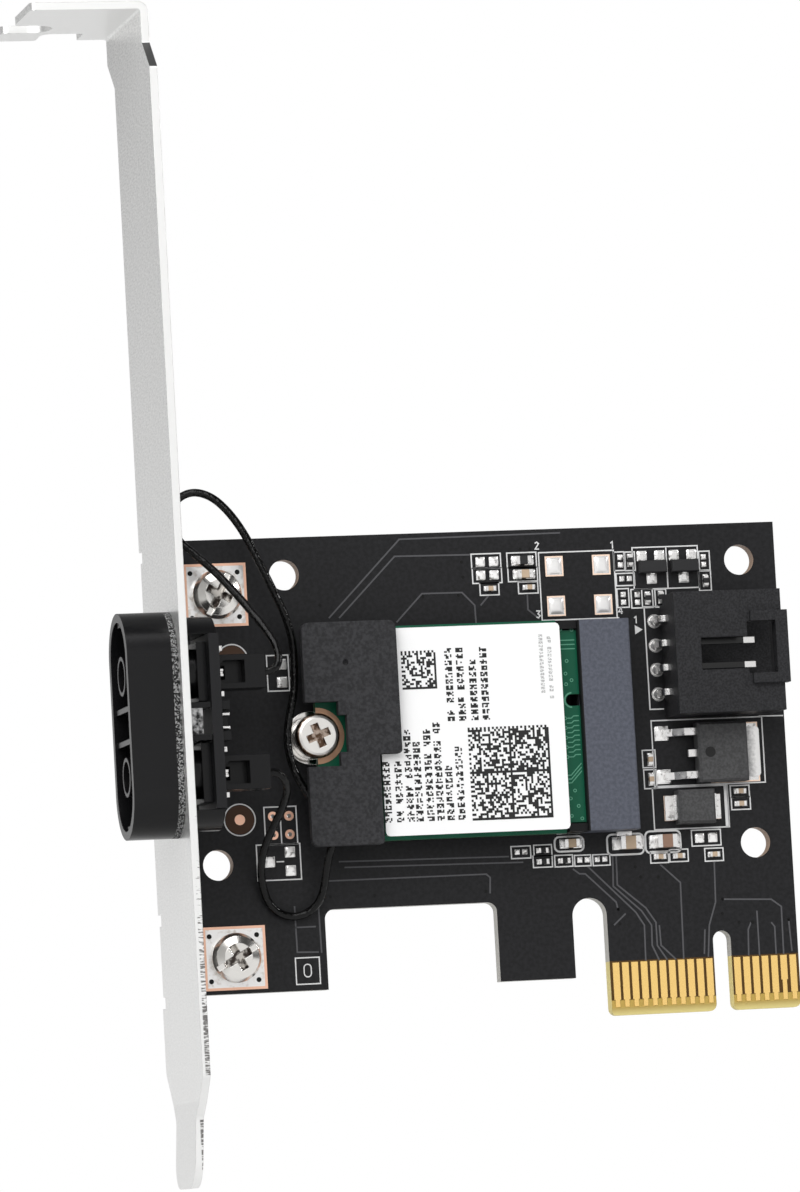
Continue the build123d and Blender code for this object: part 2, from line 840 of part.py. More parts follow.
# Shield can over the module's chips: an open-bottomed box with solder gaps along its long sides
shield_span = module_width - 2 * shield_margin
with BuildPart() as module_shield:
    with BuildSketch(Plane.XZ.offset(-module_front)):
        with Locations((shield_left, module_z)):
            Rectangle(shield_right - shield_left, shield_span, align=(Align.MIN, Align.CENTER))
    extrude(amount=shield_height)
    offset(amount=-shield_wall, openings=module_shield.faces().sort_by(Axis.Y)[-1])
    with BuildSketch(Plane.XY.offset(module_z - shield_span)):
        with Locations(((shield_left + shield_right) / 2, module_front)):
            with GridLocations(2 * shield_slot, 1, 3, 1):
                Rectangle(shield_slot, 2 * shield_slot_height)
    extrude(amount=2 * shield_span, mode=Mode.SUBTRACT)
module_shield.part.label = "module_shield"
export_step(module_shield.part, "parts/module_shield.step")

# Paper label on top of the shield
with BuildPart() as module_label:
    with BuildSketch(Plane.XZ.offset(-shield_top)):
        with Locations(((shield_left + shield_right) / 2, module_z)):
            label_run = shield_right - shield_left + 2 * label_overhang
            RectangleRounded(label_run, shield_span + 2 * label_overhang, label_corner)
    extrude(amount=label_thickness)
module_label.part.label = "module_label"
export_step(module_label.part, "parts/module_label.step")

# Socket of the module: a low moulding with a slot for the tongue, guide arms and pegs in the board
slot_span = module_tongue_width + 2 * socket_play
arm_width = (socket_length - slot_span) / 2
with BuildPart() as module_socket:
    with BuildSketch(front_plane):
        with Locations((socket_left, module_z)):
            Rectangle(socket_width, socket_length, align=(Align.MIN, Align.CENTER))
    extrude(amount=socket_height)
    fillet(module_socket.edges().filter_by(Axis.Z).group_by(Axis.Y)[0], socket_edge)
    with BuildSketch(front_plane):
        with Locations((socket_left, module_z)):
            with GridLocations(1, socket_length - arm_width, 1, 2):
                Rectangle(2 * socket_arm, arm_width)
    extrude(amount=socket_arm_height)
    with BuildSketch(Plane.YZ.offset(socket_left)):
        with Locations((module_mid, module_z)):
            Rectangle(module_thickness + 2 * socket_play, slot_span)
    extrude(amount=module_right - socket_left + socket_play, mode=Mode.SUBTRACT)
    with BuildSketch(front_plane):
        with Locations((socket_left + socket_width / 2, module_z)):
            with GridLocations(1, socket_length - 3 * socket_peg, 1, 2):
                Circle(socket_peg / 2)
    extrude(amount=-board_thickness / 2)
module_socket.part.label = "module_socket"
export_step(module_socket.part, "parts/module_socket.step")

# Solder tails of the socket's contacts along its rear, and its two hold-down tabs
with BuildPart() as socket_contacts:
    for i in range(socket_tail_count):
        tail_row = module_z + module_contact_pitch * (i - (socket_tail_count - 1) / 2)
        with Locations((socket_right, board_front, tail_row)):
            Box(
                socket_tail_length, hold_down_thickness, socket_tail_width,
                align=(Align.MIN, Align.MAX, Align.CENTER),
            )
socket_contacts.part.label = "socket_contacts"
export_step(socket_contacts.part, "parts/socket_contacts.step")

with BuildPart() as socket_hold_downs:
    for side in (-1, 1):
        tab_align = Align.MIN if side > 0 else Align.MAX
        with Locations((socket_right - hold_down_length, board_front, module_z + side * socket_length / 2)):
            tab_sides = (Align.MIN, Align.MAX, tab_align)
            Box(hold_down_length, hold_down_thickness, hold_down_reach, align=tab_sides)
socket_hold_downs.part.label = "socket_hold_downs"
export_step(socket_hold_downs.part, "parts/socket_hold_downs.step")

# Threaded standoff under the module's free end
with BuildPart() as module_standoff:
    with BuildSketch(front_plane):
        with Locations((module_left, module_z)):
            Circle(standoff_flange / 2)
    extrude(amount=standoff_flange_height)
    with BuildSketch(front_plane):
        with Locations((module_left, module_z)):
            Circle(standoff_body / 2)
    extrude(amount=module_standing)
    with Locations(Location((module_left, module_back, module_z), (90, 0, 0))):
        Hole(module_screw_shank / 2 + thread_clearance, module_standing - standoff_flange_height / 4)
module_standoff.part.label = "module_standoff"
export_step(module_standoff.part, "parts/module_standoff.step")

# Screw of the module, its head on the plated half ring
module_screw_part = pan_screw(
    module_left, module_front, module_z, module_screw_head, module_screw_head_height, module_screw_rim,
    module_screw_shank, module_screw_length, module_screw_recess, module_screw_recess_width,
    module_screw_recess_depth, module_screw_turn,
)
with BuildPart() as module_screw:
    add(module_screw_part)
module_screw.part.label = "module_screw"
export_step(module_screw.part, "parts/module_screw.step")

# Soft cover pad: a stepped outline with a two-stage cut-out round the module's screw
pad_low = module_z - pad_height / 2
pad_high = module_z + pad_height / 2
with BuildPart() as cover_pad:
    with BuildSketch(Plane.XZ.offset(-label_top)):
        with BuildLine():
            FilletPolyline(
                (pad_left, pad_low),
                (pad_left + pad_low_width, pad_low),
                (pad_left + pad_low_width, pad_step),
                (pad_left + pad_width, pad_step),
                (pad_left + pad_width, pad_high),
                (pad_left, pad_high),
                radius=(pad_corner, pad_corner / 2, pad_corner / 4, pad_corner / 2, pad_corner, pad_corner),
                close=True,
            )
        make_face()
        with Locations((pad_left, module_z)):
            Rectangle(2 * pad_cut_width, pad_cut_height, mode=Mode.SUBTRACT)
            Rectangle(2 * (pad_cut_width + pad_inner_cut), pad_inner_height, mode=Mode.SUBTRACT)
    extrude(amount=pad_thickness)
    with BuildSketch(Plane.XZ.offset(-label_top + pad_thickness)):
        with Locations((pad_dimple_x, module_z + pad_dimple_rise)):
            Circle(pad_dimple / 2)
    extrude(amount=-pad_dimple_depth, mode=Mode.SUBTRACT)
cover_pad.part.label = "cover_pad"
export_step(cover_pad.part, "parts/cover_pad.step")

# Coaxial receptacles on the module, under the cover pad
with BuildPart() as coax_receptacles:
    with BuildSketch(Plane.XZ.offset(-module_front)):
        with Locations(*[(plug_x, row) for row in plug_rows]):
            Rectangle(receptacle_base, receptacle_base)
    extrude(amount=receptacle_base_height)
    with BuildSketch(Plane.XZ.offset(-module_front + receptacle_base_height)):
        with Locations(*[(plug_x, row) for row in plug_rows]):
            RegularPolygon(receptacle_ring / 2, small_sides)
            RegularPolygon(receptacle_ring / 2 - receptacle_wall, small_sides, mode=Mode.SUBTRACT)
    extrude(amount=receptacle_height - receptacle_base_height)
coax_receptacles.part.label = "coax_receptacles"
export_step(coax_receptacles.part, "parts/coax_receptacles.step")

# Plugs of the leads: a cap over each receptacle's ring with a crimp neck towards its lead
with BuildPart() as lead_plugs:
    for row, turn in zip(plug_rows, (-90, 180)):
        with BuildSketch(Plane.XZ.offset(-module_front + plug_lift)):
            with Locations(Location((plug_x, row, 0), turn)):
                Circle(plug_diameter / 2)
                Rectangle(plug_diameter / 2 + plug_neck, plug_neck_width, align=(Align.MIN, Align.CENTER))
        extrude(amount=plug_height - plug_lift)
        with BuildSketch(Plane.XZ.offset(-module_front + plug_lift)):
            with Locations((plug_x, row)):
                RegularPolygon(receptacle_ring / 2 + plug_play, small_sides)
        extrude(amount=receptacle_height - plug_lift + plug_play, mode=Mode.SUBTRACT)
lead_plugs.part.label = "lead_plugs"
export_step(lead_plugs.part, "parts/lead_plugs.step")

# Antenna housing: a stadium shroud outside the bracket, a neck through its window and two rear caps
with BuildPart() as antenna_housing:
    with BuildSketch(Plane.YZ.offset(rim_face)):
        with Locations((jack_y, housing_z)):
            SlotOverall(housing_height, housing_width, rotation=90)
    extrude(amount=shroud_depth)
    with BuildSketch(Plane.YZ.offset(rim_face)):
        with Locations((jack_y, housing_z)):
            SlotOverall(housing_height - 2 * shroud_wall, housing_width - 2 * shroud_wall, rotation=90)
    extrude(amount=cavity_depth, mode=Mode.SUBTRACT)
    with BuildSketch(Plane.YZ.offset(rim_face + rib_setback)):
        with Locations((jack_y, housing_z)):
            with GridLocations(1, rib_spacing, 1, 2):
                Rectangle(housing_width - shroud_wall, rib_thickness)
            with GridLocations(1, housing_height - shroud_wall - key_block / 2, 1, 2):
                Rectangle(key_block, key_block)
    extrude(amount=cavity_depth - rib_setback)
    with BuildSketch(Plane.YZ.offset(gasket_face)):
        with Locations((jack_y, housing_z)):
            SlotOverall(neck_height, neck_width, rotation=90)
    extrude(amount=gasket_thickness + sheet)
    with BuildSketch(Plane.YZ.offset(bracket_inner)):
        with Locations((jack_y, housing_z)):
            SlotOverall(neck_height, neck_width, rotation=90)
            Rectangle(neck_width, plate_height + 2 * plate_play, mode=Mode.SUBTRACT)
    extrude(amount=plate_gap + plate_thickness)
    with BuildSketch(Plane.YZ.offset(bracket_inner)):
        with Locations((jack_y, housing_z)):
            with GridLocations(1, rib_spacing, 1, 2):
                Rectangle(neck_width, rib_thickness)
    extrude(amount=plate_gap)
    with BuildSketch(Plane.XZ.offset(-jack_y - neck_width)):
        for side in (-1, 1):
            with BuildLine():
                Polyline(
                    (bracket_inner, housing_z + side * neck_height / 2),
                    (plate_back, housing_z + side * (neck_height / 2 - cap_taper)),
                    (plate_back, housing_z + side * neck_height),
                    (bracket_inner, housing_z + side * neck_height),
                    close=True,
                )
            make_face()
    extrude(amount=-2 * neck_width, mode=Mode.SUBTRACT)
    with BuildSketch(Plane.YZ.offset(rim_face)):
        with Locations(*[(jack_y, row) for row in jack_rows]):
            Circle(tube_diameter / 2 + tube_play)
    extrude(amount=bracket_inner - rim_face, mode=Mode.SUBTRACT)
antenna_housing.part.label = "antenna_housing"
export_step(antenna_housing.part, "parts/antenna_housing.step")

# Foam gasket between the shroud and the bracket
with BuildPart() as antenna_gasket:
    with BuildSketch(Plane.YZ.offset(gasket_face)):
        with Locations((jack_y, housing_z)):
            SlotOverall(housing_height, housing_width, rotation=90)
            hole_height = neck_height + 2 * window_clearance
            SlotOverall(hole_height, neck_width + 2 * window_clearance, rotation=90, mode=Mode.SUBTRACT)
    extrude(amount=gasket_thickness)
antenna_gasket.part.label = "antenna_gasket"
export_step(antenna_gasket.part, "parts/antenna_gasket.step")


def coax_barrel(row):
    """One antenna socket: a front tube, a wider barrel behind the bracket and a square base on its board."""
    with BuildPart() as barrel:
        with BuildSketch(Plane((0, jack_y, row))):
            with BuildLine():
                Polyline(
                    (tube_end, tube_bore / 2),
                    (tube_end, tube_diameter / 2),
                    (bracket_inner, tube_diameter / 2),
                    (bracket_inner, barrel_diameter / 2),
                    (plate_front, barrel_diameter / 2),
                    (plate_front, jack_pin / 2 + jack_pin_play),
                    (bore_floor, jack_pin / 2 + jack_pin_play),
                    (bore_floor, sleeve_diameter / 2 + tube_play),
                    (bore_step, sleeve_diameter / 2 + tube_play),
                    (bore_step, tube_bore / 2),
                    close=True,
                )
            make_face()
        revolve(axis=Axis((0, jack_y, row), (1, 0, 0)))
        with BuildSketch(Plane.YZ.offset(plate_front - barrel_base_depth)):
            with Locations((jack_y, row)):
                Rectangle(barrel_base, barrel_base)
                Circle(barrel_diameter / 2 - 0.2, mode=Mode.SUBTRACT)
        extrude(amount=barrel_base_depth)
    return barrel.part


barrel_list = [coax_barrel(row) for row in jack_rows]
with BuildPart() as coax_barrels:
    add(barrel_list)
coax_barrels.part.label = "coax_barrels"
export_step(coax_barrels.part, "parts/coax_barrels.step")

# Spring sleeves at the bottom of the antenna sockets, and the centre pins that run back to the lead holders
with BuildPart() as socket_sleeves:
    with BuildSketch(Plane.YZ.offset(bore_floor)):
        with Locations(*[(jack_y, row) for row in jack_rows]):
            Circle(sleeve_diameter / 2)
            Circle(sleeve_diameter / 2 - sleeve_wall, mode=Mode.SUBTRACT)
    extrude(amount=-sleeve_length)
socket_sleeves.part.label = "socket_sleeves"
export_step(socket_sleeves.part, "parts/socket_sleeves.step")

with BuildPart() as socket_pins:
    with BuildSketch(Plane.YZ.offset(bore_step)):
        with Locations(*[(jack_y, row) for row in jack_rows]):
            Circle(jack_pin / 2)
    extrude(amount=plate_back + jack_pin_reach - bore_step)
socket_pins.part.label = "socket_pins"
export_step(socket_pins.part, "parts/socket_pins.step")

# Antenna board between the rear caps, and the ground posts soldered through it
post_places = [
    (jack_y + y_side * post_spacing / 2, row + z_side * post_spacing / 2)
    for row in jack_rows
    for y_side in (-1, 1)
    for z_side in (-1, 1)
]
with BuildPart() as antenna_board:
    with BuildSketch(Plane.YZ.offset(plate_front)):
        with Locations((jack_y, housing_z)):
            Rectangle(plate_width, plate_height)
        with Locations(*[(jack_y, row) for row in jack_rows]):
            Circle(jack_pin / 2 + jack_pin_play, mode=Mode.SUBTRACT)
        with Locations(*post_places):
            Rectangle(post_side + 2 * jack_pin_play, post_side + 2 * jack_pin_play, mode=Mode.SUBTRACT)
    extrude(amount=plate_thickness)
antenna_board.part.label = "antenna_board"
export_step(antenna_board.part, "parts/antenna_board.step")

with BuildPart() as ground_posts:
    with BuildSketch(Plane.YZ.offset(plate_front)):
        with Locations(*post_places):
            Rectangle(post_side, post_side)
    extrude(amount=plate_thickness + post_reach)
ground_posts.part.label = "ground_posts"
export_step(ground_posts.part, "parts/ground_posts.step")

# Latch between the sockets: a forked block on the antenna board, its pins and a spring clip at the bracket
near_side = jack_y - neck_width / 2
with BuildPart() as latch_block:
    with BuildSketch(Plane.YZ.offset(plate_back)):
        with Locations((near_side, housing_z)):
            Rectangle(latch_block_width, latch_block_height, align=(Align.MIN, Align.CENTER))
            Rectangle(latch_block_width / 2, latch_slot, align=(Align.MIN, Align.CENTER), mode=Mode.SUBTRACT)
    extrude(amount=latch_block_depth)
latch_block.part.label = "latch_block"
export_step(latch_block.part, "parts/latch_block.step")

with BuildPart() as latch_pins:
    with BuildSketch(Plane.YZ.offset(plate_back)):
        with Locations((near_side + latch_block_width / 4, housing_z)):
            with GridLocations(1, latch_slot - 2 * latch_pin, 1, 2):
                Circle(latch_pin / 2)
    extrude(amount=latch_block_depth)
latch_pins.part.label = "latch_pins"
export_step(latch_pins.part, "parts/latch_pins.step")

spring_height = rib_spacing - rib_thickness - 2 * plate_play
with BuildPart() as latch_spring:
    with BuildSketch(Plane((0, 0, housing_z - spring_height / 2))):
        with Locations((bracket_inner, near_side)):
            Rectangle(spring_length, spring_thickness, align=(Align.MIN, Align.MIN))
            Rectangle(spring_thickness, neck_width / 3, align=(Align.MIN, Align.MIN))
    extrude(amount=spring_height)
latch_spring.part.label = "latch_spring"
export_step(latch_spring.part, "parts/latch_spring.step")


def lead_holder(row):
    """A lead holder on the antenna board: a block with a funnelled window and a hole for the centre pin."""
    window_end = plate_back + holder_window_start + holder_window_length
    with BuildPart() as holder:
        with Locations((plate_back, jack_y, row)):
            Box(holder_length, holder_width, holder_height, align=(Align.MIN, Align.CENTER, Align.CENTER))
        with BuildSketch(Plane((0, jack_y - holder_width / 2, row), x_dir=(1, 0, 0), z_dir=(0, -1, 0))):
            with BuildLine():
                Polyline(
                    (plate_back, holder_throat_height / 2),
                    (plate_back + holder_window_start / 2, holder_throat_height / 2),
                    (plate_back + holder_window_start, holder_window_height / 2),
                    (window_end, holder_window_height / 2),
                    (window_end, -holder_window_height / 2),
                    (plate_back + holder_window_start, -holder_window_height / 2),
                    (plate_back + holder_window_start / 2, -holder_throat_height / 2),
                    (plate_back, -holder_throat_height / 2),
                    close=True,
                )
            make_face()
        extrude(amount=-holder_window_depth, mode=Mode.SUBTRACT)
        with BuildSketch(Plane.YZ.offset(plate_back)):
            with Locations((jack_y, row)):
                Circle(jack_pin / 2 + fork_gap)
        extrude(amount=jack_pin_reach + fork_gap, mode=Mode.SUBTRACT)
    return holder.part


upper_holder_part = lead_holder(jack_rows[0])
with BuildPart() as lead_holder_upper:
    add(upper_holder_part)
lead_holder_upper.part.label = "lead_holder_upper"
export_step(lead_holder_upper.part, "parts/lead_holder_upper.step")

lower_holder_part = lead_holder(jack_rows[1])
with BuildPart() as lead_holder_lower:
    add(lower_holder_part)
lead_holder_lower.part.label = "lead_holder_lower"
export_step(lead_holder_lower.part, "parts/lead_holder_lower.step")

# Fork contacts that grip each centre pin in the window of its lead holder
with BuildPart() as fork_contacts:
    for row in jack_rows:
        with Locations((plate_back, jack_y - jack_pin / 2, row)):
            with Locations((0, 0, fork_gap), (0, 0, -fork_gap)):
                Box(fork_length, fork_thickness, fork_gap, align=(Align.MIN, Align.MAX, Align.CENTER))
fork_contacts.part.label = "fork_contacts"
export_step(fork_contacts.part, "parts/fork_contacts.step")

# Coaxial leads
upper_lead_part = lead_tube(upper_route)
with BuildPart() as antenna_lead_upper:
    add(upper_lead_part)
antenna_lead_upper.part.label = "antenna_lead_upper"
export_step(antenna_lead_upper.part, "parts/antenna_lead_upper.step")

lower_lead_part = lead_tube(lower_route)
with BuildPart() as antenna_lead_lower:
    add(lower_lead_part)
antenna_lead_lower.part.label = "antenna_lead_lower"
export_step(antenna_lead_lower.part, "parts/antenna_lead_lower.step")

# Header shroud: a box open at its free end, with a stepped window and a raised bridge in its front wall.
# A small relief at its upper back corner clears the chip resistor beside it.
bridge_start = header_front - header_bridge_length
with BuildPart() as header_shroud:
    with BuildSketch(front_plane):
        with Locations((header_back, header_z)):
            Rectangle(header_length, header_width, align=(Align.MIN, Align.CENTER))
    extrude(amount=header_height)
    with BuildSketch(front_plane.offset(header_height - header_wall)):
        with Locations((bridge_start, header_z + header_bridge_offset)):
            bridge_run = header_bridge_length + header_bridge_reach
            Rectangle(bridge_run, header_bridge_height, align=(Align.MIN, Align.CENTER))
    extrude(amount=header_wall + header_bridge_rise)
    with BuildSketch(Plane.YZ.offset(header_back + header_back_wall)):
        with Locations(((board_front + header_top) / 2, header_z)):
            Rectangle(header_height - 2 * header_wall, header_width - 2 * header_wall)
    extrude(amount=header_length, mode=Mode.SUBTRACT)
    with BuildSketch(front_plane.offset(header_height - 2 * header_wall)):
        with Locations((bridge_start - header_mouth_lead, header_z + header_window_offset)):
            Rectangle(header_window_length, header_window_height, align=(Align.MAX, Align.CENTER))
        with Locations((bridge_start - header_mouth_lead, header_z + header_bridge_offset)):
            mouth = header_mouth_lead + header_bridge_length + header_bridge_reach - header_bridge_bar
            Rectangle(mouth, header_mouth_height, align=(Align.MIN, Align.CENTER))
    extrude(amount=2 * header_wall + header_bridge_rise, mode=Mode.SUBTRACT)
    with BuildSketch(Plane.YZ.offset(header_back)):
        with Locations(*[(header_axis, row) for row in header_rows]):
            Rectangle(header_pin + 2 * collar_play, header_pin + 2 * collar_play)
    extrude(amount=header_back_wall, mode=Mode.SUBTRACT)
    with BuildSketch(front_plane):
        with Locations((header_back, header_z + header_width / 2)):
            Rectangle(header_corner_relief, header_corner_relief, align=(Align.MIN, Align.MAX))
    extrude(amount=header_corner_height, mode=Mode.SUBTRACT)
header_shroud.part.label = "header_shroud"
export_step(header_shroud.part, "parts/header_shroud.step")

# Header pins: square wire bent once, from the board's holes into the shroud
half_pin = header_pin / 2
with BuildPart() as header_pins:
    for row in header_rows:
        with BuildSketch(Plane.XY.offset(row - half_pin)):
            with BuildLine():
                FilletPolyline(
                    (header_pin_x - half_pin, board_back + header_pin_tail),
                    (header_pin_x - half_pin, header_axis - half_pin),
                    (header_front - header_pin_tip, header_axis - half_pin),
                    (header_front - header_pin_tip, header_axis + half_pin),
                    (header_pin_x + half_pin, header_axis + half_pin),
                    (header_pin_x + half_pin, board_back + header_pin_tail),
                    radius=(0, header_pin_bend, 0, 0, 0, 0),
                    close=True,
                )
            make_face()
        extrude(amount=header_pin)
header_pins.part.label = "header_pins"
export_step(header_pins.part, "parts/header_pins.step")

# Solder collars round the header pins on both faces of the board


def solder_collar(row, face, side):
    """An eight-sided solder cone round one header pin, standing on a face of the board."""
    pin_room = header_pin + 2 * collar_play
    with BuildPart() as collar:
        with BuildSketch(Plane((header_pin_x, face, row), x_dir=(1, 0, 0), z_dir=(0, side, 0))):
            RegularPolygon(collar_diameter / 2, 8)
        extrude(amount=collar_height, taper=collar_taper)
        with BuildSketch(Plane((header_pin_x, face, row), x_dir=(1, 0, 0), z_dir=(0, side, 0))):
            Rectangle(pin_room, pin_room)
        extrude(amount=collar_height, mode=Mode.SUBTRACT)
    return collar.part


board_faces = ((board_front, -1), (board_back, 1))
collar_list = [solder_collar(row, face, side) for row in header_rows for face, side in board_faces]
with BuildPart() as header_solder:
    add(collar_list)
header_solder.part.label = "header_solder"
export_step(header_solder.part, "parts/header_solder.step")

# Regulator: a moulded body on a heat tab, with two bent leads and a cut middle stub
regulator_left = regulator_x - regulator_length / 2
regulator_right = regulator_x + regulator_length / 2
with BuildPart() as regulator_body:
    with BuildSketch(Plane.XZ.offset(-seat + regulator_tab_thickness)):
        with Locations((regulator_x, regulator_z)):
            Rectangle(regulator_length, regulator_width)
    extrude(amount=regulator_height - regulator_tab_thickness)
    chamfer(regulator_body.edges().group_by(Axis.Y)[0], regulator_edge)
regulator_body.part.label = "regulator_body"
export_step(regulator_body.part, "parts/regulator_body.step")

with BuildPart() as regulator_tab:
    with BuildSketch(Plane.XZ.offset(-seat)):
        with Locations((regulator_left + regulator_length / 3, regulator_z)):
            tab_run = 2 * regulator_length / 3 + regulator_tab_reach
            RectangleRounded(tab_run, regulator_tab_width, 0.4, align=(Align.MIN, Align.CENTER))
    extrude(amount=regulator_tab_thickness)
regulator_tab.part.label = "regulator_tab"
export_step(regulator_tab.part, "parts/regulator_tab.step")

lead_tip = regulator_left - regulator_lead_reach
lead_thickness = regulator_tab_thickness
lead_heel = lead_tip + regulator_lead_foot
lead_rise = regulator_lead_reach - regulator_lead_foot - regulator_stub
lead_level = seat - regulator_lead_height
with BuildPart() as regulator_leads:
    for side in (-1, 1):
        lead_low = regulator_z + side * regulator_lead_pitch - regulator_lead_width / 2
        with BuildSketch(Plane.XY.offset(lead_low)):
            with BuildLine():
                Polyline(
                    (lead_tip, seat),
                    (lead_heel, seat),
                    (lead_heel + lead_rise, lead_level),
                    (regulator_left, lead_level),
                    (regulator_left, lead_level - lead_thickness),
                    (lead_heel + lead_rise - 0.3, lead_level - lead_thickness),
                    (lead_heel - 0.3, seat - lead_thickness),
                    (lead_tip, seat - lead_thickness),
                    close=True,
                )
            make_face()
        extrude(amount=regulator_lead_width)
    with Locations((regulator_left, seat - regulator_lead_height, regulator_z)):
        Box(regulator_stub, lead_thickness, regulator_lead_width, align=(Align.MAX, Align.MAX, Align.CENTER))
regulator_leads.part.label = "regulator_leads"
export_step(regulator_leads.part, "parts/regulator_leads.step")

# Diode: a drafted block between two folded terminals
diode_floor = seat - diode_terminal_thickness
with BuildPart() as diode_body:
    with BuildSketch(Plane.XZ.offset(-diode_floor)):
        with Locations((diode_x, diode_z)):
            Rectangle(diode_length, diode_width)
    extrude(amount=diode_height - diode_terminal_thickness)
    chamfer(diode_body.edges().group_by(Axis.Y)[0], diode_draft)
diode_body.part.label = "diode_body"
export_step(diode_body.part, "parts/diode_body.step")

with BuildPart() as diode_terminals:
    with BuildSketch(Plane.XZ.offset(-seat)):
        with Locations((diode_x, diode_z)):
            with GridLocations(diode_length + diode_terminal / 3, 1, 2, 1):
                Rectangle(diode_terminal, diode_terminal_width)
    extrude(amount=diode_terminal_thickness)
    with BuildSketch(Plane.XZ.offset(-diode_floor)):
        with Locations((diode_x, diode_z)):
            with GridLocations(diode_length + diode_terminal_thickness, 1, 2, 1):
                Rectangle(diode_terminal_thickness, diode_terminal_width)
    extrude(amount=diode_height / 2)
diode_terminals.part.label = "diode_terminals"
export_step(diode_terminals.part, "parts/diode_terminals.step")

# Two small transistors: two leads above and one below each body
transistor_floor = seat - transistor_lead_thickness
with BuildPart() as transistor_bodies:
    with BuildSketch(Plane.XZ.offset(-transistor_floor)):
        with Locations(*[(x, transistor_z) for x in transistor_places]):
            Rectangle(transistor_length, transistor_width)
    extrude(amount=transistor_height - transistor_lead_thickness)
    chamfer(transistor_bodies.edges().group_by(Axis.Y)[0], 0.1)
transistor_bodies.part.label = "transistor_bodies"
export_step(transistor_bodies.part, "parts/transistor_bodies.step")

lead_offsets = ((-transistor_lead_pitch / 2, 1), (transistor_lead_pitch / 2, 1), (0, -1))
with BuildPart() as transistor_leads:
    for x in transistor_places:
        for offset_x, side in lead_offsets:
            edge_z = transistor_z + side * transistor_width / 2
            lead_align = Align.MIN if side > 0 else Align.MAX
            with Locations((x + offset_x, seat, edge_z)):
                Box(
                    transistor_lead_width, transistor_lead_thickness, transistor_lead_reach,
                    align=(Align.CENTER, Align.MAX, lead_align),
                )
                Box(
                    transistor_lead_width, transistor_lead_height, transistor_lead_thickness,
                    align=(Align.CENTER, Align.MAX, lead_align),
                )
transistor_leads.part.label = "transistor_leads"
export_step(transistor_leads.part, "parts/transistor_leads.step")

# Chip resistors and capacitors with their end caps
small_size = (small_chip_length, small_chip_width, small_chip_height, chip_cap_share)
medium_size = (medium_chip_length, medium_chip_width, medium_chip_height, chip_cap_share)
large_size = (large_chip_length, large_chip_width, large_chip_height, chip_cap_share)
resistor_groups = [chips(small_resistors, *small_size), chips(medium_resistors, *medium_size)]
capacitor_groups = [
    chips(small_capacitors, *small_size),
    chips(medium_capacitors, *medium_size),
    chips(large_capacitors, *large_size),
]
with BuildPart() as resistor_bodies:
    add([bodies for bodies, caps in resistor_groups])
resistor_bodies.part.label = "resistor_bodies"
export_step(resistor_bodies.part, "parts/resistor_bodies.step")

with BuildPart() as capacitor_bodies:
    add([bodies for bodies, caps in capacitor_groups])
capacitor_bodies.part.label = "capacitor_bodies"
export_step(capacitor_bodies.part, "parts/capacitor_bodies.step")

with BuildPart() as chip_end_caps:
    add([caps for bodies, caps in resistor_groups + capacitor_groups])
chip_end_caps.part.label = "chip_end_caps"
export_step(chip_end_caps.part, "parts/chip_end_caps.step")

# Tinned pads: under the chip parts, on the bare footprints, and under the regulator, diode and transistors
small_footprints = small_pairs + small_resistors + small_capacitors
medium_footprints = medium_pairs + medium_resistors + medium_capacitors
pad_pairs = [
    (small_footprints, small_pad, small_pad, small_pad_spacing),
    (medium_footprints, medium_pad, medium_pad, medium_pad_spacing),
    (large_capacitors, medium_pad, large_pad, large_pad_spacing),
]
with BuildPart() as solder_pads:
    with BuildSketch(front_plane):
        for places, pad_across, pad_along, spacing in pad_pairs:
            for x, z, turn in places:
                with Locations(Location((x, z, 0), turn)):
                    with GridLocations(spacing, 1, 2, 1):
                        Rectangle(pad_across, pad_along)
        with Locations((crystal_x, crystal_z)):
            with GridLocations(crystal_pad_pitch_x, crystal_pad_pitch_z, 2, 2):
                Rectangle(crystal_pad_width, crystal_pad_height)
        with Locations(*square_pads):
            Rectangle(square_pad, square_pad)
        for x in transistor_places:
            for offset_x, side in lead_offsets:
                with Locations((x + offset_x, transistor_z + side * (transistor_width + transistor_pad) / 2)):
                    Rectangle(transistor_pad, transistor_pad)
        with Locations((diode_x, diode_z)):
            with GridLocations(diode_length + diode_terminal / 3, 1, 2, 1):
                Rectangle(diode_terminal + copper, diode_terminal_width + copper)
        with Locations((lead_tip, regulator_z)):
            with GridLocations(1, 2 * regulator_lead_pitch, 1, 2):
                Rectangle(2 * regulator_lead_width, 2 * regulator_lead_width)
        with Locations((regulator_right + regulator_tab_reach, regulator_z)):
            Rectangle(regulator_length, regulator_width, align=(Align.MAX, Align.CENTER))
    extrude(amount=copper)
solder_pads.part.label = "solder_pads"
export_step(solder_pads.part, "parts/solder_pads.step")

# Copper left bare: plated eyelets and fiducial dots
with BuildPart() as copper_marks:
    with BuildSketch(front_plane):
        with Locations((eyelet_x, eyelet_z)):
            with GridLocations(eyelet_pitch_x, eyelet_pitch_z, 2, 2):
                RegularPolygon(eyelet_ring / 2, small_sides)
                RegularPolygon(eyelet_hole / 2, small_sides, mode=Mode.SUBTRACT)
        with Locations(*fiducials):
            RegularPolygon(fiducial_dot / 2, small_sides)
    extrude(amount=copper)
copper_marks.part.label = "copper_marks"
export_step(copper_marks.part, "parts/copper_marks.step")
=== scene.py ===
import math

import bpy
import numpy as np
from mathutils import Matrix, Vector


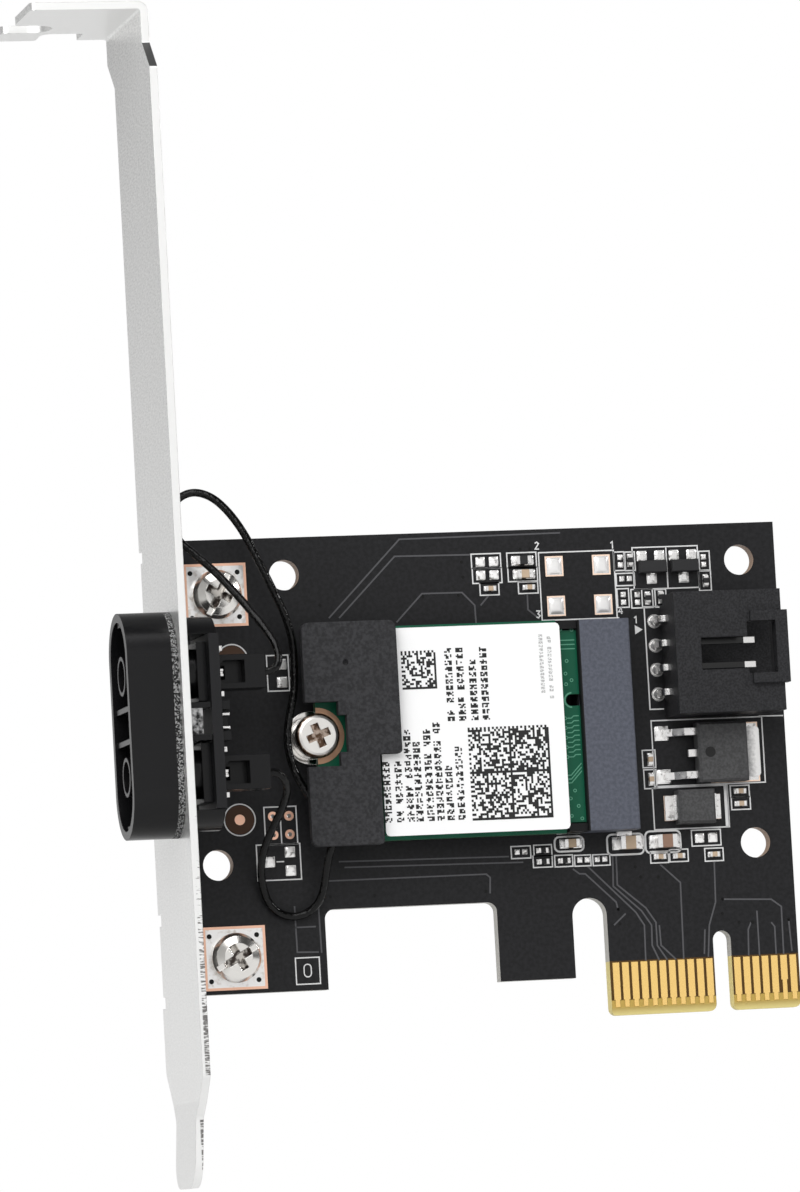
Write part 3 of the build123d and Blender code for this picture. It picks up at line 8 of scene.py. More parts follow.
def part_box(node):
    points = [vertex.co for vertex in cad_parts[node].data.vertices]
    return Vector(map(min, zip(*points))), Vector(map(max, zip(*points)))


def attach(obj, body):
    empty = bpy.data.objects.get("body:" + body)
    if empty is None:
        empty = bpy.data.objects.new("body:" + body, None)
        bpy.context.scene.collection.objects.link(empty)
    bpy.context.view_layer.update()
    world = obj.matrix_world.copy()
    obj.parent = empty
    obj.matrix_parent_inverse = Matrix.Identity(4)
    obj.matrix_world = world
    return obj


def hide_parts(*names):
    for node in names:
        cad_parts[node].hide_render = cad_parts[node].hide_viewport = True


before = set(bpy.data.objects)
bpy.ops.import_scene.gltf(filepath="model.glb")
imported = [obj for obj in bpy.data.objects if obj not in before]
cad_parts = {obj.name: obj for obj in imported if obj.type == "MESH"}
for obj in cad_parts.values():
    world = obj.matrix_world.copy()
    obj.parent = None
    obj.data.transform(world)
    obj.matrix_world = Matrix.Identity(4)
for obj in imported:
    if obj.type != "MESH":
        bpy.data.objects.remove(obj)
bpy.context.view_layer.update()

bl_info = {
    "name": "Wireless expansion card",
    "version": (1, 0, 0),
    "blender": (4, 5, 0),
    "location": "View3D > Sidebar > Card",
    "description": "Dresses the solids of a wireless expansion card and sets it in a plain studio",
    "category": "Object",
}

MM = 0.001
BOARD_FACE = float(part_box("circuit_board")[0][1]) / MM
LABEL_FACE = float(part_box("module_label")[0][1]) / MM
MODULE_FACE = float(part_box("module_board")[0][1]) / MM

# Outlines printed on the board: middle x and z, width and height in millimetres
PRINT_BOXES = np.array([
    (-22.86, 47.54, 3.11, 1.49), (-22.83, 46.01, 3.11, 1.55), (-22.66, 44.61, 2.01, 1.25),
    (-19.06, 47.50, 3.12, 1.55), (-19.03, 46.01, 3.12, 1.43), (-18.53, 44.62, 2.08, 1.19),
    (-13.21, 44.68, 8.04, 7.05), (-8.65, 47.04, 1.13, 1.94), (-7.48, 47.00, 1.05, 1.94),
    (-8.08, 45.12, 1.96, 1.28), (-8.44, 43.19, 1.24, 1.94), (-6.41, 43.08, 2.30, 1.94),
    (-4.41, 43.04, 1.17, 1.83), (-3.67, 46.22, 7.02, 4.36), (0.53, 46.80, 1.13, 1.98),
    (0.47, 44.71, 1.29, 2.05), (-20.90, 17.26, 2.06, 1.25), (-18.57, 17.36, 1.90, 1.12),
    (-18.64, 16.21, 2.03, 1.18), (-16.40, 16.18, 1.90, 1.18), (-14.38, 16.13, 1.73, 1.12),
    (-12.38, 16.11, 1.82, 1.12), (-6.16, 16.15, 1.91, 1.19), (-4.07, 16.23, 1.98, 1.26),
    (-0.26, 26.89, 11.91, 6.84), (-2.48, 21.16, 8.05, 4.34), (-6.67, 26.37, 1.37, 1.80),
    (-6.66, 24.27, 1.31, 1.96), (2.88, 22.62, 2.03, 1.22), (2.92, 21.37, 2.03, 1.27),
    (-1.03, 17.95, 3.12, 1.64), (-0.29, 16.17, 1.97, 1.32), (-46.05, 21.05, 3.35, 3.85),
    (-46.45, 17.31, 4.56, 3.66), (-45.48, 36.70, 2.25, 3.67), (-44.03, 6.07, 2.50, 2.70),
])
ROUND_BOXES = np.array([
    (-15.73, 17.90, 3.08, 1.51), (-9.73, 17.62, 3.88, 2.11), (-5.69, 17.72, 3.76, 2.25),
])

# Traces seen through the mask and the vias along them, in millimetres of x and z
TRACES = [
    [(-39.82, 42.18), (-31.94, 50.08), (-14.79, 50.21)], [(-38.74, 42.15), (-32.53, 48.33), (-24.45, 48.24)],
    [(-32.70, 41.50), (-29.86, 44.37), (-25.60, 44.35), (-24.32, 42.98), (-24.28, 41.10)],
    [(-22.81, 43.90), (-23.69, 42.95)], [(-18.66, 43.94), (-18.68, 42.34), (-17.50, 41.32)],
    [(-41.49, 15.16), (-24.69, 15.16), (-24.31, 14.79), (-24.41, 13.16)], [(-40.17, 17.09), (-22.20, 16.87)],
    [(-39.60, 16.48), (-20.71, 16.22)],
    [(-15.48, 15.31), (-14.80, 14.78), (-14.19, 14.75), (-11.07, 11.69), (-10.88, 10.79)],
    [(-13.92, 15.54), (-9.04, 10.56), (-8.20, 9.18), (-8.27, 5.50)],
    [(-11.16, 16.47), (-11.28, 13.34), (-8.42, 10.68), (-7.43, 9.15), (-7.49, 7.06), (-6.82, 5.50)],
    [(-10.79, 16.46), (-10.84, 13.47), (-7.94, 10.96), (-6.95, 9.42), (-6.94, 7.03), (-5.96, 5.50)],
    [(-6.12, 15.37), (-4.08, 13.42), (-4.20, 5.50)],
    [(-0.32, 15.50), (-0.43, 11.23), (-1.25, 8.88), (-1.55, 5.60)],
    [(-10.13, 10.46), (-11.43, 9.32)], [(-6.60, 9.11), (-6.54, 7.02), (-5.02, 5.50)],
    [(-1.75, 8.45), (-1.96, 5.92)],
    [(0.30, 11.50), (5.57, 11.27), (6.61, 10.48), (6.56, 5.54)], [(5.43, 8.88), (5.77, 8.42), (5.75, 5.57)],
    [(3.25, 8.98), (2.90, 8.24), (2.79, 5.55)], [(3.95, 10.15), (3.96, 5.50)], [(7.31, 9.10), (7.48, 5.79)],
    [(-45.07, 12.74), (-45.03, 8.01), (-42.79, 7.94)], [(-45.09, 10.55), (-42.95, 10.56)],
    [(-42.56, 12.63), (-42.49, 7.85)],
]
VIAS = [
    (-29.79, 44.06), (-26.02, 44.06), (-25.48, 47.50), (-25.42, 45.92), (-40.70, 43.53), (-19.17, 48.62),
    (-18.13, 48.63), (-17.38, 47.35), (-17.38, 45.94), (-17.44, 44.61), (-41.28, 13.53), (-36.61, 13.45),
    (-24.85, 13.39), (-8.82, 15.24), (-8.30, 14.17), (-6.42, 14.09), (0.21, 10.01), (1.95, 9.03),
    (3.41, 8.97), (0.30, 11.50), (7.31, 9.10), (-10.87, 10.94), (-10.80, 9.44),
]

# Traces and vias on the bare strip of the module, beside the label: a row of hooks, three lines and a few bends
HOOK_ROWS = np.arange(30.9, 26.5, -0.5)
MODULE_TRACES = [
    *([(-14.75, z), (-15.3, z), (-15.55, z - 0.22), (-16.05, z - 0.22)] for z in HOOK_ROWS),
    *([(-16.5, z), (-14.75, z)] for z in (38.75, 38.3, 37.85)),
    *([(-14.75, z), (-15.9, z - 1.2), (-16.5, z - 1.2)] for z in (26.0, 25.6, 25.2)),
]
MODULE_VIAS = [
    *((-16.2, z - 0.22) for z in HOOK_ROWS[::2]),
    (-16.2, 39.9), (-15.6, 40.1), (-15.0, 39.8), (-15.7, 36.6), (-15.9, 35.3), (-15.3, 34.6),
    (-15.9, 34.2), (-15.6, 23.2), (-16.1, 22.4), (-15.3, 21.6), (-16.1, 20.6), (-15.0, 20.3),
]

# Places on the boards in millimetres of x and z, and the radius that takes in a plain hole's wall
PLAIN_HOLES = [(-44.3, 46.78), (4.25, 46.78), (-52.8, 17.25), (4.25, 17.25)]
HOLE_REACH = 1.7
FIDUCIALS = [(-50.3, 21.8), (-50.2, 38.2)]
MODULE_NOTCH = np.array([-15.4, 32.55])

# The board is bare below this height and to the right of this place, round the edge contacts, in metres
MARGIN_TOP, MARGIN_LEFT = 0.0056, -0.01216

# The darkest chip capacitor lies between these places, in metres: x from and to, z from and to
BROWN_CHIP = (-0.0075, -0.0035, 0.0169, 0.019)

# Pads wider than the first show a copper rim, and those under the second a heap of solder, in millimetres
RIMMED_PAD, HEAPED_PAD = 1.6, 3.0

# Print on the label: codes as x from and to, z from and to and cells to a side, and columns as x, z from and to
LABEL_CODES = ((-33.55, -29.9, 34.15, 38.1, 18), (-26.95, -18.4, 20.45, 30.0, 40))
LABEL_COLUMNS = [
    (-35.75, 20.6, 27.4), (-34.5, 20.6, 27.4), (-33.4, 20.6, 30.2), (-32.45, 20.6, 29.2), (-31.3, 20.6, 30.8),
    (-30.25, 20.6, 30.85), (-29.2, 20.6, 26.4), (-28.05, 20.6, 28.1), (-28.6, 30.75, 38.6),
    (-27.4, 30.75, 38.45), (-26.1, 30.75, 37.1), (-24.9, 30.75, 38.3),
]
SMALL_COLUMNS = ((-18.73, 33.3, 39.4), (-17.84, 32.7, 39.4))

# Radii in metres by which finishes ease the edges of plating, tinned parts, chips, sheet, mouldings and rubber
HAIR_EDGE, FINE_EDGE, CHIP_EDGE = 0.00004, 0.00005, 0.00006
SHEET_EDGE, MOULD_EDGE, SOFT_EDGE = 0.00008, 0.0001, 0.00015

# Camera, fitted to the photograph: place in millimetres, turns in degrees, focal length and height in pixels
CAMERA_PLACE = (-208.7103, -746.5758, -23.7831)
CAMERA_TURN, CAMERA_TIP, CAMERA_ROLL = 13.3168, -5.0698, -3.1793
FOCAL_PIXELS, PHOTO_PIXELS, SENSOR = 7464.56, 1192, 36

# Floor height in metres, and lamps with their place and size in metres and their watts, turned to one point
FLOOR = -0.03
LAMPS = (("key", (-0.45, -0.75, 0.75), 1.2, 15.5), ("side", (0.85, -0.4, 0.4), 0.12, 2.5))
LAMP_AIM = np.array([-0.025, 0.0, 0.03])

# Routes of the leads in metres, from their holders to the plugs on the module
UPPER_ROUTE = np.array([
    (-49.35, -11.0, 36.1), (-48.15, -11.0, 36.1), (-47.4, -10.75, 37.2), (-47.55, -10.2, 38.7),
    (-48.2, -9.4, 40.3), (-49.2, -8.5, 41.95), (-50.6, -7.2, 44.2), (-52.5, -5.6, 46.9),
    (-54.2, -4.4, 48.8), (-55.8, -3.6, 50.4), (-56.55, -3.2, 52.5), (-55.9, -3.0, 54.5),
    (-54.1, -3.05, 55.5), (-52.1, -3.4, 54.95), (-50.4, -3.9, 53.2), (-48.9, -4.4, 50.7),
    (-47.5, -4.9, 47.3), (-46.3, -5.1, 44.5), (-45.3, -5.1, 42.2), (-44.65, -4.9, 39.6),
    (-44.6, -4.65, 36.9), (-44.7, -4.55, 34.4), (-45.3, -4.5, 32.2), (-45.75, -4.5, 29.8),
    (-45.5, -4.55, 27.4), (-44.7, -4.65, 25.2), (-43.5, -4.75, 23.3), (-42.0, -4.75, 22.4),
    (-40.675, -4.75, 22.4),
]) * MM
LOWER_ROUTE = np.array([
    (-49.35, -11.0, 25.9), (-48.3, -11.0, 25.9), (-47.45, -10.5, 25.1), (-46.95, -9.3, 24.2),
    (-47.05, -7.7, 22.9), (-47.5, -6.3, 21.5), (-48.2, -4.9, 19.9), (-48.8, -3.4, 17.7),
    (-48.75, -2.3, 15.5), (-48.05, -1.65, 13.2), (-46.75, -1.4, 11.9), (-44.95, -1.4, 11.52),
    (-43.3, -1.65, 12.25), (-42.4, -2.4, 13.6), (-42.2, -3.6, 15.9), (-41.9, -4.6, 18.1),
    (-40.9, -4.85, 19.9), (-38.9, -4.75, 20.5), (-37.3, -4.7, 22.1), (-36.85, -4.68, 24.8),
    (-36.95, -4.7, 28.2), (-37.4, -4.72, 31.0), (-38.4, -4.75, 33.0), (-39.2, -4.75, 34.5),
    (-39.2, -4.75, 35.825),
]) * MM


class Paint:
    """A value in a material's node tree: arithmetic on it adds Math nodes."""

    def __init__(self, tree, socket=None):
        self.tree = tree
        self.socket = socket

    def node(self, kind, settings=None, values=None, output=0):
        """Adds a node of this type with these settings, then fills its sockets with numbers or links."""
        made = self.tree.nodes.new(kind)
        for key, value in (settings or {}).items():
            setattr(made, key, value)
        for key, value in (values or {}).items():
            if isinstance(value, Paint):
                self.tree.links.new(value.socket, made.inputs[key])
            else:
                made.inputs[key].default_value = value
        return Paint(self.tree, made.outputs[output])

    def math(self, operation, first, second=0.0):
        return self.node("ShaderNodeMath", {"operation": operation}, {0: first, 1: second})

    def __add__(self, other):
        return self.math("ADD", self, other)

    __radd__ = __add__

    def __sub__(self, other):
        return self.math("SUBTRACT", self, other)

    def __rsub__(self, other):
        return self.math("SUBTRACT", other, self)

    def __mul__(self, other):
        return self.math("MULTIPLY", self, other)

    __rmul__ = __mul__

    def __gt__(self, other):
        return self.math("GREATER_THAN", self, other)

    def __lt__(self, other):
        return self.math("LESS_THAN", self, other)

    def __abs__(self):
        return self.math("ABSOLUTE", self)

    def mix(self, low, high):
        """The colour low where this value is 0 and high where it is 1."""
        low, high = [c if isinstance(c, Paint) else (*c, 1.0) for c in (low, high)]
        return self.node("ShaderNodeMix", {"data_type": "RGBA"}, {0: self, 6: low, 7: high}, 2)

    def clamp(self):
        """The value held between 0 and 1."""
        return self.node("ShaderNodeClamp", None, {"Value": self})

    def part(self, axis):
        """One component of a vector."""
        return self.node("ShaderNodeSeparateXYZ", None, {0: self}, axis)

    x, y, z = (property(lambda self, axis=axis: self.part(axis)) for axis in "XYZ")

    def stretch(self, x, y, z):
        """The vector with its parts multiplied by these numbers."""
        return self.node("ShaderNodeVectorMath", {"operation": "MULTIPLY"}, {0: self, 1: (x, y, z)})

    def noise(self, scale, detail=3.0):
        """Soft noise over the surface, from 0 to 1, with this many grains to the metre."""
        return self.node("ShaderNodeTexNoise", None, {"Vector": self, "Scale": scale, "Detail": detail})

    def facing(self):
        """The way that the surface faces."""
        return self.node("ShaderNodeNewGeometry", output="Normal")

    def apart(self, x, z):
        """The square of the distance from a place in x and z."""
        return self.math("POWER", self.x - x, 2.0) + self.math("POWER", self.z - z, 2.0)

    def into(self, shader, socket="Base Color"):
        """Feeds a socket of a shader."""
        self.tree.links.new(self.socket, shader.inputs[socket])


def finish(name, colour, roughness, metallic=0.0, edge=0.0, specular=0.2):
    """A plain finish, its edges eased to the eye by this radius in metres; gives material, shader and place."""
    material = bpy.data.materials.new(name)
    material.use_nodes = True
    shader = material.node_tree.nodes["Principled BSDF"]
    shader.inputs["Base Color"].default_value = (*colour, 1)
    shader.inputs["Roughness"].default_value = roughness
    shader.inputs["Metallic"].default_value = metallic
    shader.inputs["Specular IOR Level"].default_value = specular
    material.diffuse_color = (*colour, 1)
    paint = Paint(material.node_tree)
    place = paint.node("ShaderNodeTexCoord", output="Object")
    if edge:
        paint.node("ShaderNodeBevel", {"samples": 4}, {"Radius": edge}).into(shader, "Normal")
    return material, shader, place


def shaded(colour, share):
    """The colour multiplied by this share, with no part above 1."""
    return [min(1.0, share * c) for c in colour]


def mottled(place, colour, scale, depth):
    """The colour varied by this share, darker and lighter, in grains of this many to the metre."""
    return (place.noise(scale) * 4.0 - 1.5).mix(shaded(colour, 1 - depth), shaded(colour, 1 + depth))


def grain(shader, place, scale, depth, edge=0.0):
    """Raises fine grains of this depth in metres on a finish, over its rounded edges."""
    values = {"Height": place.noise(scale), "Distance": depth, "Strength": 1.0}
    if edge:
        values["Normal"] = place.node("ShaderNodeBevel", {"samples": 4}, {"Radius": edge})
    place.node("ShaderNodeBump", None, values).into(shader, "Normal")


def dress(material, *nodes):
    """Gives the solids of these names one material."""
    for name in nodes:
        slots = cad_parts[name].data.materials
        slots.clear()
        slots.append(material)


def piece(name, points, faces, material, slot, smooth=False):
    """A mesh from an array of points in millimetres and its faces, riding on the card."""
    mesh = bpy.data.meshes.new(name)
    mesh.from_pydata((np.asarray(points).reshape(-1, 3) * MM).tolist(), [], faces)
    mesh.materials.append(material)
    if smooth:
        mesh.shade_smooth()
        mesh.set_sharp_from_angle(angle=math.radians(60))
    mesh.update()
    made = bpy.data.objects.new(name, mesh)
    bpy.context.collection.objects.link(made)
    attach(made, "root")
    return made


def plates(boxes, face, thick):
    """Flat blocks on a face of constant y: rows of x0, x1, z0, z1, each from the face to thick before it."""
    boxes = np.asarray(boxes, float)
    x, z = boxes[:, [0, 1, 1, 0]], boxes[:, [2, 2, 3, 3]]
    back = np.stack([x, np.full_like(x, face), z], -1)
    front = np.stack([x, np.full_like(x, face - thick), z], -1)
    points = np.concatenate([back, front], 1)
    quads = np.array([(4, 5, 6, 7), (0, 1, 5, 4), (1, 2, 6, 5), (2, 3, 7, 6), (3, 0, 4, 7), (0, 3, 2, 1)])
    faces = (quads[None] + 8 * np.arange(len(boxes))[:, None, None]).reshape(-1, 4)
    return points.reshape(-1, 3), faces.tolist()


def strips(paths, width, face, thick, closed=False):
    """Ribbons on a face of constant y: a square section carried along each path, mitred at its corners.
    The offset at a corner is the mean of the two sides' normals, divided by the cosine of half the turn."""
    all_points, all_faces, count = [], [], 0
    for path in paths:
        path = np.asarray(path, float)
        run = np.diff(np.vstack([path, path[:1]]) if closed else path, axis=0)
        run /= np.linalg.norm(run, axis=1, keepdims=True)
        side = np.stack([-run[:, 1], run[:, 0]], 1)
        before = np.roll(side, 1, 0) if closed else np.vstack([side[:1], side])
        after = side if closed else np.vstack([side, side[-1:]])
        mitre = (before + after) / 2
        mitre *= width / 2 / np.maximum((mitre ** 2).sum(1, keepdims=True), 0.25)
        left, right = path + mitre, path - mitre
        ring = np.stack([left, right, right, left], 1)
        depth = np.broadcast_to(np.array([face - thick, face - thick, face, face]), ring.shape[:2])
        points = np.stack([ring[..., 0], depth, ring[..., 1]], -1).reshape(-1, 3)
        n = len(path)
        here = 4 * np.arange(n if closed else n - 1)
        there = (here + 4) % (4 * n)
        loop = [(here + k, here + (k + 1) % 4, there + (k + 1) % 4, there + k) for k in range(4)]
        faces = np.concatenate([np.stack(quad, 1) for quad in loop]) + count
        all_faces += faces.tolist()
        if not closed:
            all_faces += [[count + 3, count + 2, count + 1, count], [count + 4 * n - 4 + k for k in range(4)]]
        all_points.append(points)
        count += len(points)
    return np.vstack(all_points), all_faces


def box_paths(boxes):
    """The four corners of each box given by its middle, width and height."""
    boxes = np.asarray(boxes, float)
    corners = np.array([(-0.5, -0.5), (0.5, -0.5), (0.5, 0.5), (-0.5, 0.5)])
    return boxes[:, None, :2] + corners * boxes[:, None, 2:]


def round_paths(boxes, radius, steps=5):
    """The outline of each box with its corners turned on quarter circles of this radius."""
    boxes = np.asarray(boxes, float)
    turn = np.linspace(0, math.pi / 2, steps)
    turn = np.concatenate([turn + k * math.pi / 2 for k in range(4)])
    sign = np.repeat(np.array([(1, 1), (-1, 1), (-1, -1), (1, -1)]), steps, 0)
    arc = radius * np.stack([np.cos(turn), np.sin(turn)], 1)
    return boxes[:, None, :2] + sign * (boxes[:, None, 2:] / 2 - radius) + arc


def rounds(places, radius, face, thick, steps=24):
    """Flat discs on a face of constant y: a circle of points before each place, and one on the face."""
    places = np.asarray(places, float)
    turn = np.linspace(0, 2 * math.pi, steps, endpoint=False)
    rim = places[:, None] + radius * np.stack([np.cos(turn), np.sin(turn)], 1)
    front = np.stack([rim[..., 0], np.full(rim.shape[:2], face - thick), rim[..., 1]], -1)
    back = front + np.array([0, thick, 0])
    points = np.concatenate([front, back], 1).reshape(-1, 3)
    faces = []
    for start in range(0, len(points), 2 * steps):
        k = start + np.arange(steps)
        after = start + (np.arange(steps) + 1) % steps
        faces.append(k.tolist())
        faces.append((k[::-1] + steps).tolist())
        faces += np.stack([after, k, k + steps, after + steps], 1).tolist()
    return points, faces


def islands(name, corners=None):
    """Boxes of x0, x1, z0, z1 and the front plane, in millimetres, of each separate solid in a node's mesh,
    or only of those with this many corners. Points at one place are joined, and each keeps the lowest
    number that its edges bring to it."""
    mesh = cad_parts[name].data
    points = np.empty(3 * len(mesh.vertices))
    mesh.vertices.foreach_get("co", points)
    ends = np.empty(2 * len(mesh.edges), int)
    mesh.edges.foreach_get("vertices", ends)
    points, same = np.unique(np.round(points.reshape(-1, 3) / MM, 4), axis=0, return_inverse=True)
    ends = same.ravel()[ends].reshape(-1, 2)
    mark = np.arange(len(points))
    while True:
        lowest = mark[ends].min(1)
        np.minimum.at(mark, ends[:, 0], lowest)
        np.minimum.at(mark, ends[:, 1], lowest)
        if (mark[ends[:, 0]] == mark[ends[:, 1]]).all():
            break
    groups = [points[mark == k] for k in np.unique(mark)]
    return np.array([
        (g[:, 0].min(), g[:, 0].max(), g[:, 2].min(), g[:, 2].max(), g[:, 1].min())
        for g in groups if corners in (None, len(g))
    ])


def middles(boxes):
    """The middle x and z of each box."""
    return np.stack([boxes[:, :2].mean(1), boxes[:, 2:4].mean(1)], 1)


def domes(boxes, face, rise, power, steps=9):
    """Cushions of solder on a face of constant y: each box's height is rise (1 - u^power)(1 - v^power)."""
    boxes = np.asarray(boxes, float)
    u, v = np.meshgrid(np.linspace(-1, 1, steps), np.linspace(-1, 1, steps), indexing="ij")
    half = (boxes[:, [1, 3]] - boxes[:, [0, 2]]) / 2
    middle = (boxes[:, [1, 3]] + boxes[:, [0, 2]]) / 2
    height = np.minimum(rise, 0.4 * half.min(1))[:, None, None] * ((1 - u ** power) * (1 - v ** power))
    x = middle[:, 0, None, None] + half[:, 0, None, None] * u
    z = middle[:, 1, None, None] + half[:, 1, None, None] * v
    points = np.stack([x, face - height, z], -1).reshape(-1, 3)
    k = np.arange(steps * steps).reshape(steps, steps)
    quads = np.stack([k[:-1, :-1], k[1:, :-1], k[1:, 1:], k[:-1, 1:]], -1).reshape(-1, 4)
    ring = np.concatenate([k[:-1, 0], k[-1, :-1], k[:0:-1, -1], k[0, :0:-1]])[::-1]
    starts = steps * steps * np.arange(len(boxes))
    faces = (quads[None] + starts[:, None, None]).reshape(-1, 4).tolist()
    return points, faces + (ring[None] + starts[:, None]).tolist()


def heaps(places, radius, face, rise, steps=24, rings=7):
    """Rounded heaps on a face of constant y: at the angle t the circle is radius cos t and the height rise sin t.
    A negative rise heaps towards the front."""
    places = np.asarray(places, float)
    turn = np.linspace(0, 2 * math.pi, steps, endpoint=False)
    climb = np.linspace(0, 0.48 * math.pi, rings)[:, None]
    x = places[:, 0, None, None] + radius * np.cos(climb) * np.cos(turn)
    z = places[:, 1, None, None] + radius * np.cos(climb) * np.sin(turn)
    y = np.broadcast_to(face + rise * np.sin(climb), x.shape)
    points = np.stack([x, y, z], -1).reshape(-1, 3)
    k = np.arange(rings * steps).reshape(rings, steps)
    after = np.roll(k, -1, 1)
    quads = np.stack([k[:-1], after[:-1], after[1:], k[1:]], -1).reshape(-1, 4)
    starts = rings * steps * np.arange(len(places))[:, None, None]
    faces = (quads + starts).reshape(-1, 4).tolist()
    faces += (k[0, ::-1] + starts[:, 0]).tolist() + (k[-1] + starts[:, 0]).tolist()
    return points, [face[::-1] for face in faces] if rise > 0 else faces


def half_ring(place, inner, outer, face, thick, way=1, steps=24):
    """A flat half ring about a place, before a face of constant y, bowed towards +x, or -x for a way of -1."""
    turn = np.linspace(-math.pi / 2, math.pi / 2, steps)
    arc = way * np.stack([np.cos(turn), np.sin(turn)], 1)
    ring = np.stack([place + inner * arc, place + outer * arc, place + outer * arc, place + inner * arc], 1)
    depth = np.broadcast_to(np.array([face - thick, face - thick, face, face]), ring.shape[:2])
    points = np.stack([ring[..., 0], depth, ring[..., 1]], -1).reshape(-1, 3)
    here = 4 * np.arange(steps - 1)
    loop = [(here + k, here + 4 + k, here + 4 + (k + 1) % 4, here + (k + 1) % 4) for k in range(4)]
    faces = np.concatenate([np.stack(quad, 1) for quad in loop]).tolist()
    return points, faces + [[0, 1, 2, 3], [4 * steps - 4 + k for k in (3, 2, 1, 0)]]


def circles(places, radius, steps=32):
    """Closed circular paths round each place."""
    turn = np.linspace(0, 2 * math.pi, steps, endpoint=False)
    return np.asarray(places, float)[:, None] + radius * np.stack([np.cos(turn), np.sin(turn)], 1)


def joined(*shapes):
    """Several point and face lists as one."""
    points, faces, count = [], [], 0
    for these, polygons in shapes:
        points.append(these)
        faces += [[k + count for k in polygon] for polygon in polygons]
        count += len(these)
    return np.vstack(points), faces


def length(name, description, millimetres):
    return bpy.props.FloatProperty(
        name=name, description=description, default=millimetres * MM, unit="LENGTH", precision=5
    )


def colour(name, description, red, green, blue):
    return bpy.props.FloatVectorProperty(
        name=name, description=description, default=(red, green, blue), subtype="COLOR", min=0, max=1
    )


class CardSizes(bpy.types.PropertyGroup):
    """Sizes of what is printed, laid and drawn on the card."""

    print_line: length("Print line", "Width of the lines printed on the board", 0.13)
    print_rise: length("Print rise", "Height of print above the surface under it", 0.02)
    trace_line: length("Trace line", "Width of the traces under the solder mask", 0.16)
    trace_rise: length("Trace rise", "Height of the traces above the board", 0.012)
    via: length("Via", "Diameter of the plated holes along the traces", 0.36)
    rim: length("Copper rim", "Width of the copper left bare round a pad", 0.15)
    solder: length("Solder", "Height of the solder on a pad", 0.12)
    edge: length("Edge", "Radius of the eased edges of metal and mouldings", 0.12)
    lead: length("Lead", "Diameter of the coaxial leads", 0.81)


class CardColours(bpy.types.PropertyGroup):
    """Colours of the card's finishes."""

    mask: colour("Solder mask", "Black mask of the board", 0.009, 0.009, 0.010)
    trace: colour("Trace", "Mask where a trace lies under it", 0.075, 0.075, 0.08)
    via_dark: colour("Via", "Plated holes filled with mask", 0.003, 0.003, 0.003)
    core: colour("Core", "Cut edge of the board", 0.46, 0.45, 0.42)
    wall: colour("Hole wall", "Wall of the plain holes", 0.30, 0.21, 0.15)
    margin: colour("Margin", "Bare board at the feet of the edge contacts", 0.42, 0.29, 0.07)
    margin_tip: colour("Margin tip", "Bevelled tip of the edge connector", 0.72, 0.61, 0.25)
    margin_gap: colour("Margin gap", "Bare board between the edge contacts", 0.07, 0.035, 0.006)
    print_white: colour("Print", "White print on the board", 0.62, 0.62, 0.62)
    steel: colour("Steel", "Plated sheet of the bracket", 0.88, 0.88, 0.87)
    nickel: colour("Nickel", "Screws and standoff", 0.78, 0.76, 0.73)
    tin: colour("Tin", "Tinned pads and leads", 0.82, 0.81, 0.80)
    gold: colour("Gold", "Edge contacts", 1.0, 0.68, 0.24)
    copper: colour("Copper", "Copper at the rims of pads", 0.86, 0.52, 0.38)
    copper_pale: colour("Pale copper", "Copper under a thin coat of tin", 0.94, 0.72, 0.58)
    green: colour("Module green", "Mask of the radio module", 0.006, 0.085, 0.045)
    green_trace: colour("Module trace", "Traces of the radio module", 0.10, 0.30, 0.20)
    label: colour("Label", "Paper of the module's label", 0.80, 0.80, 0.80)
    ink: colour("Ink", "Print on the label", 0.02, 0.02, 0.02)
    black: colour("Black moulding", "Housing, header and lead holders", 0.005, 0.005, 0.0055)
    rubber: colour("Rubber", "Pad over the end of the module", 0.026, 0.026, 0.028)
    slate: colour("Slate moulding", "Socket of the module", 0.075, 0.081, 0.102)


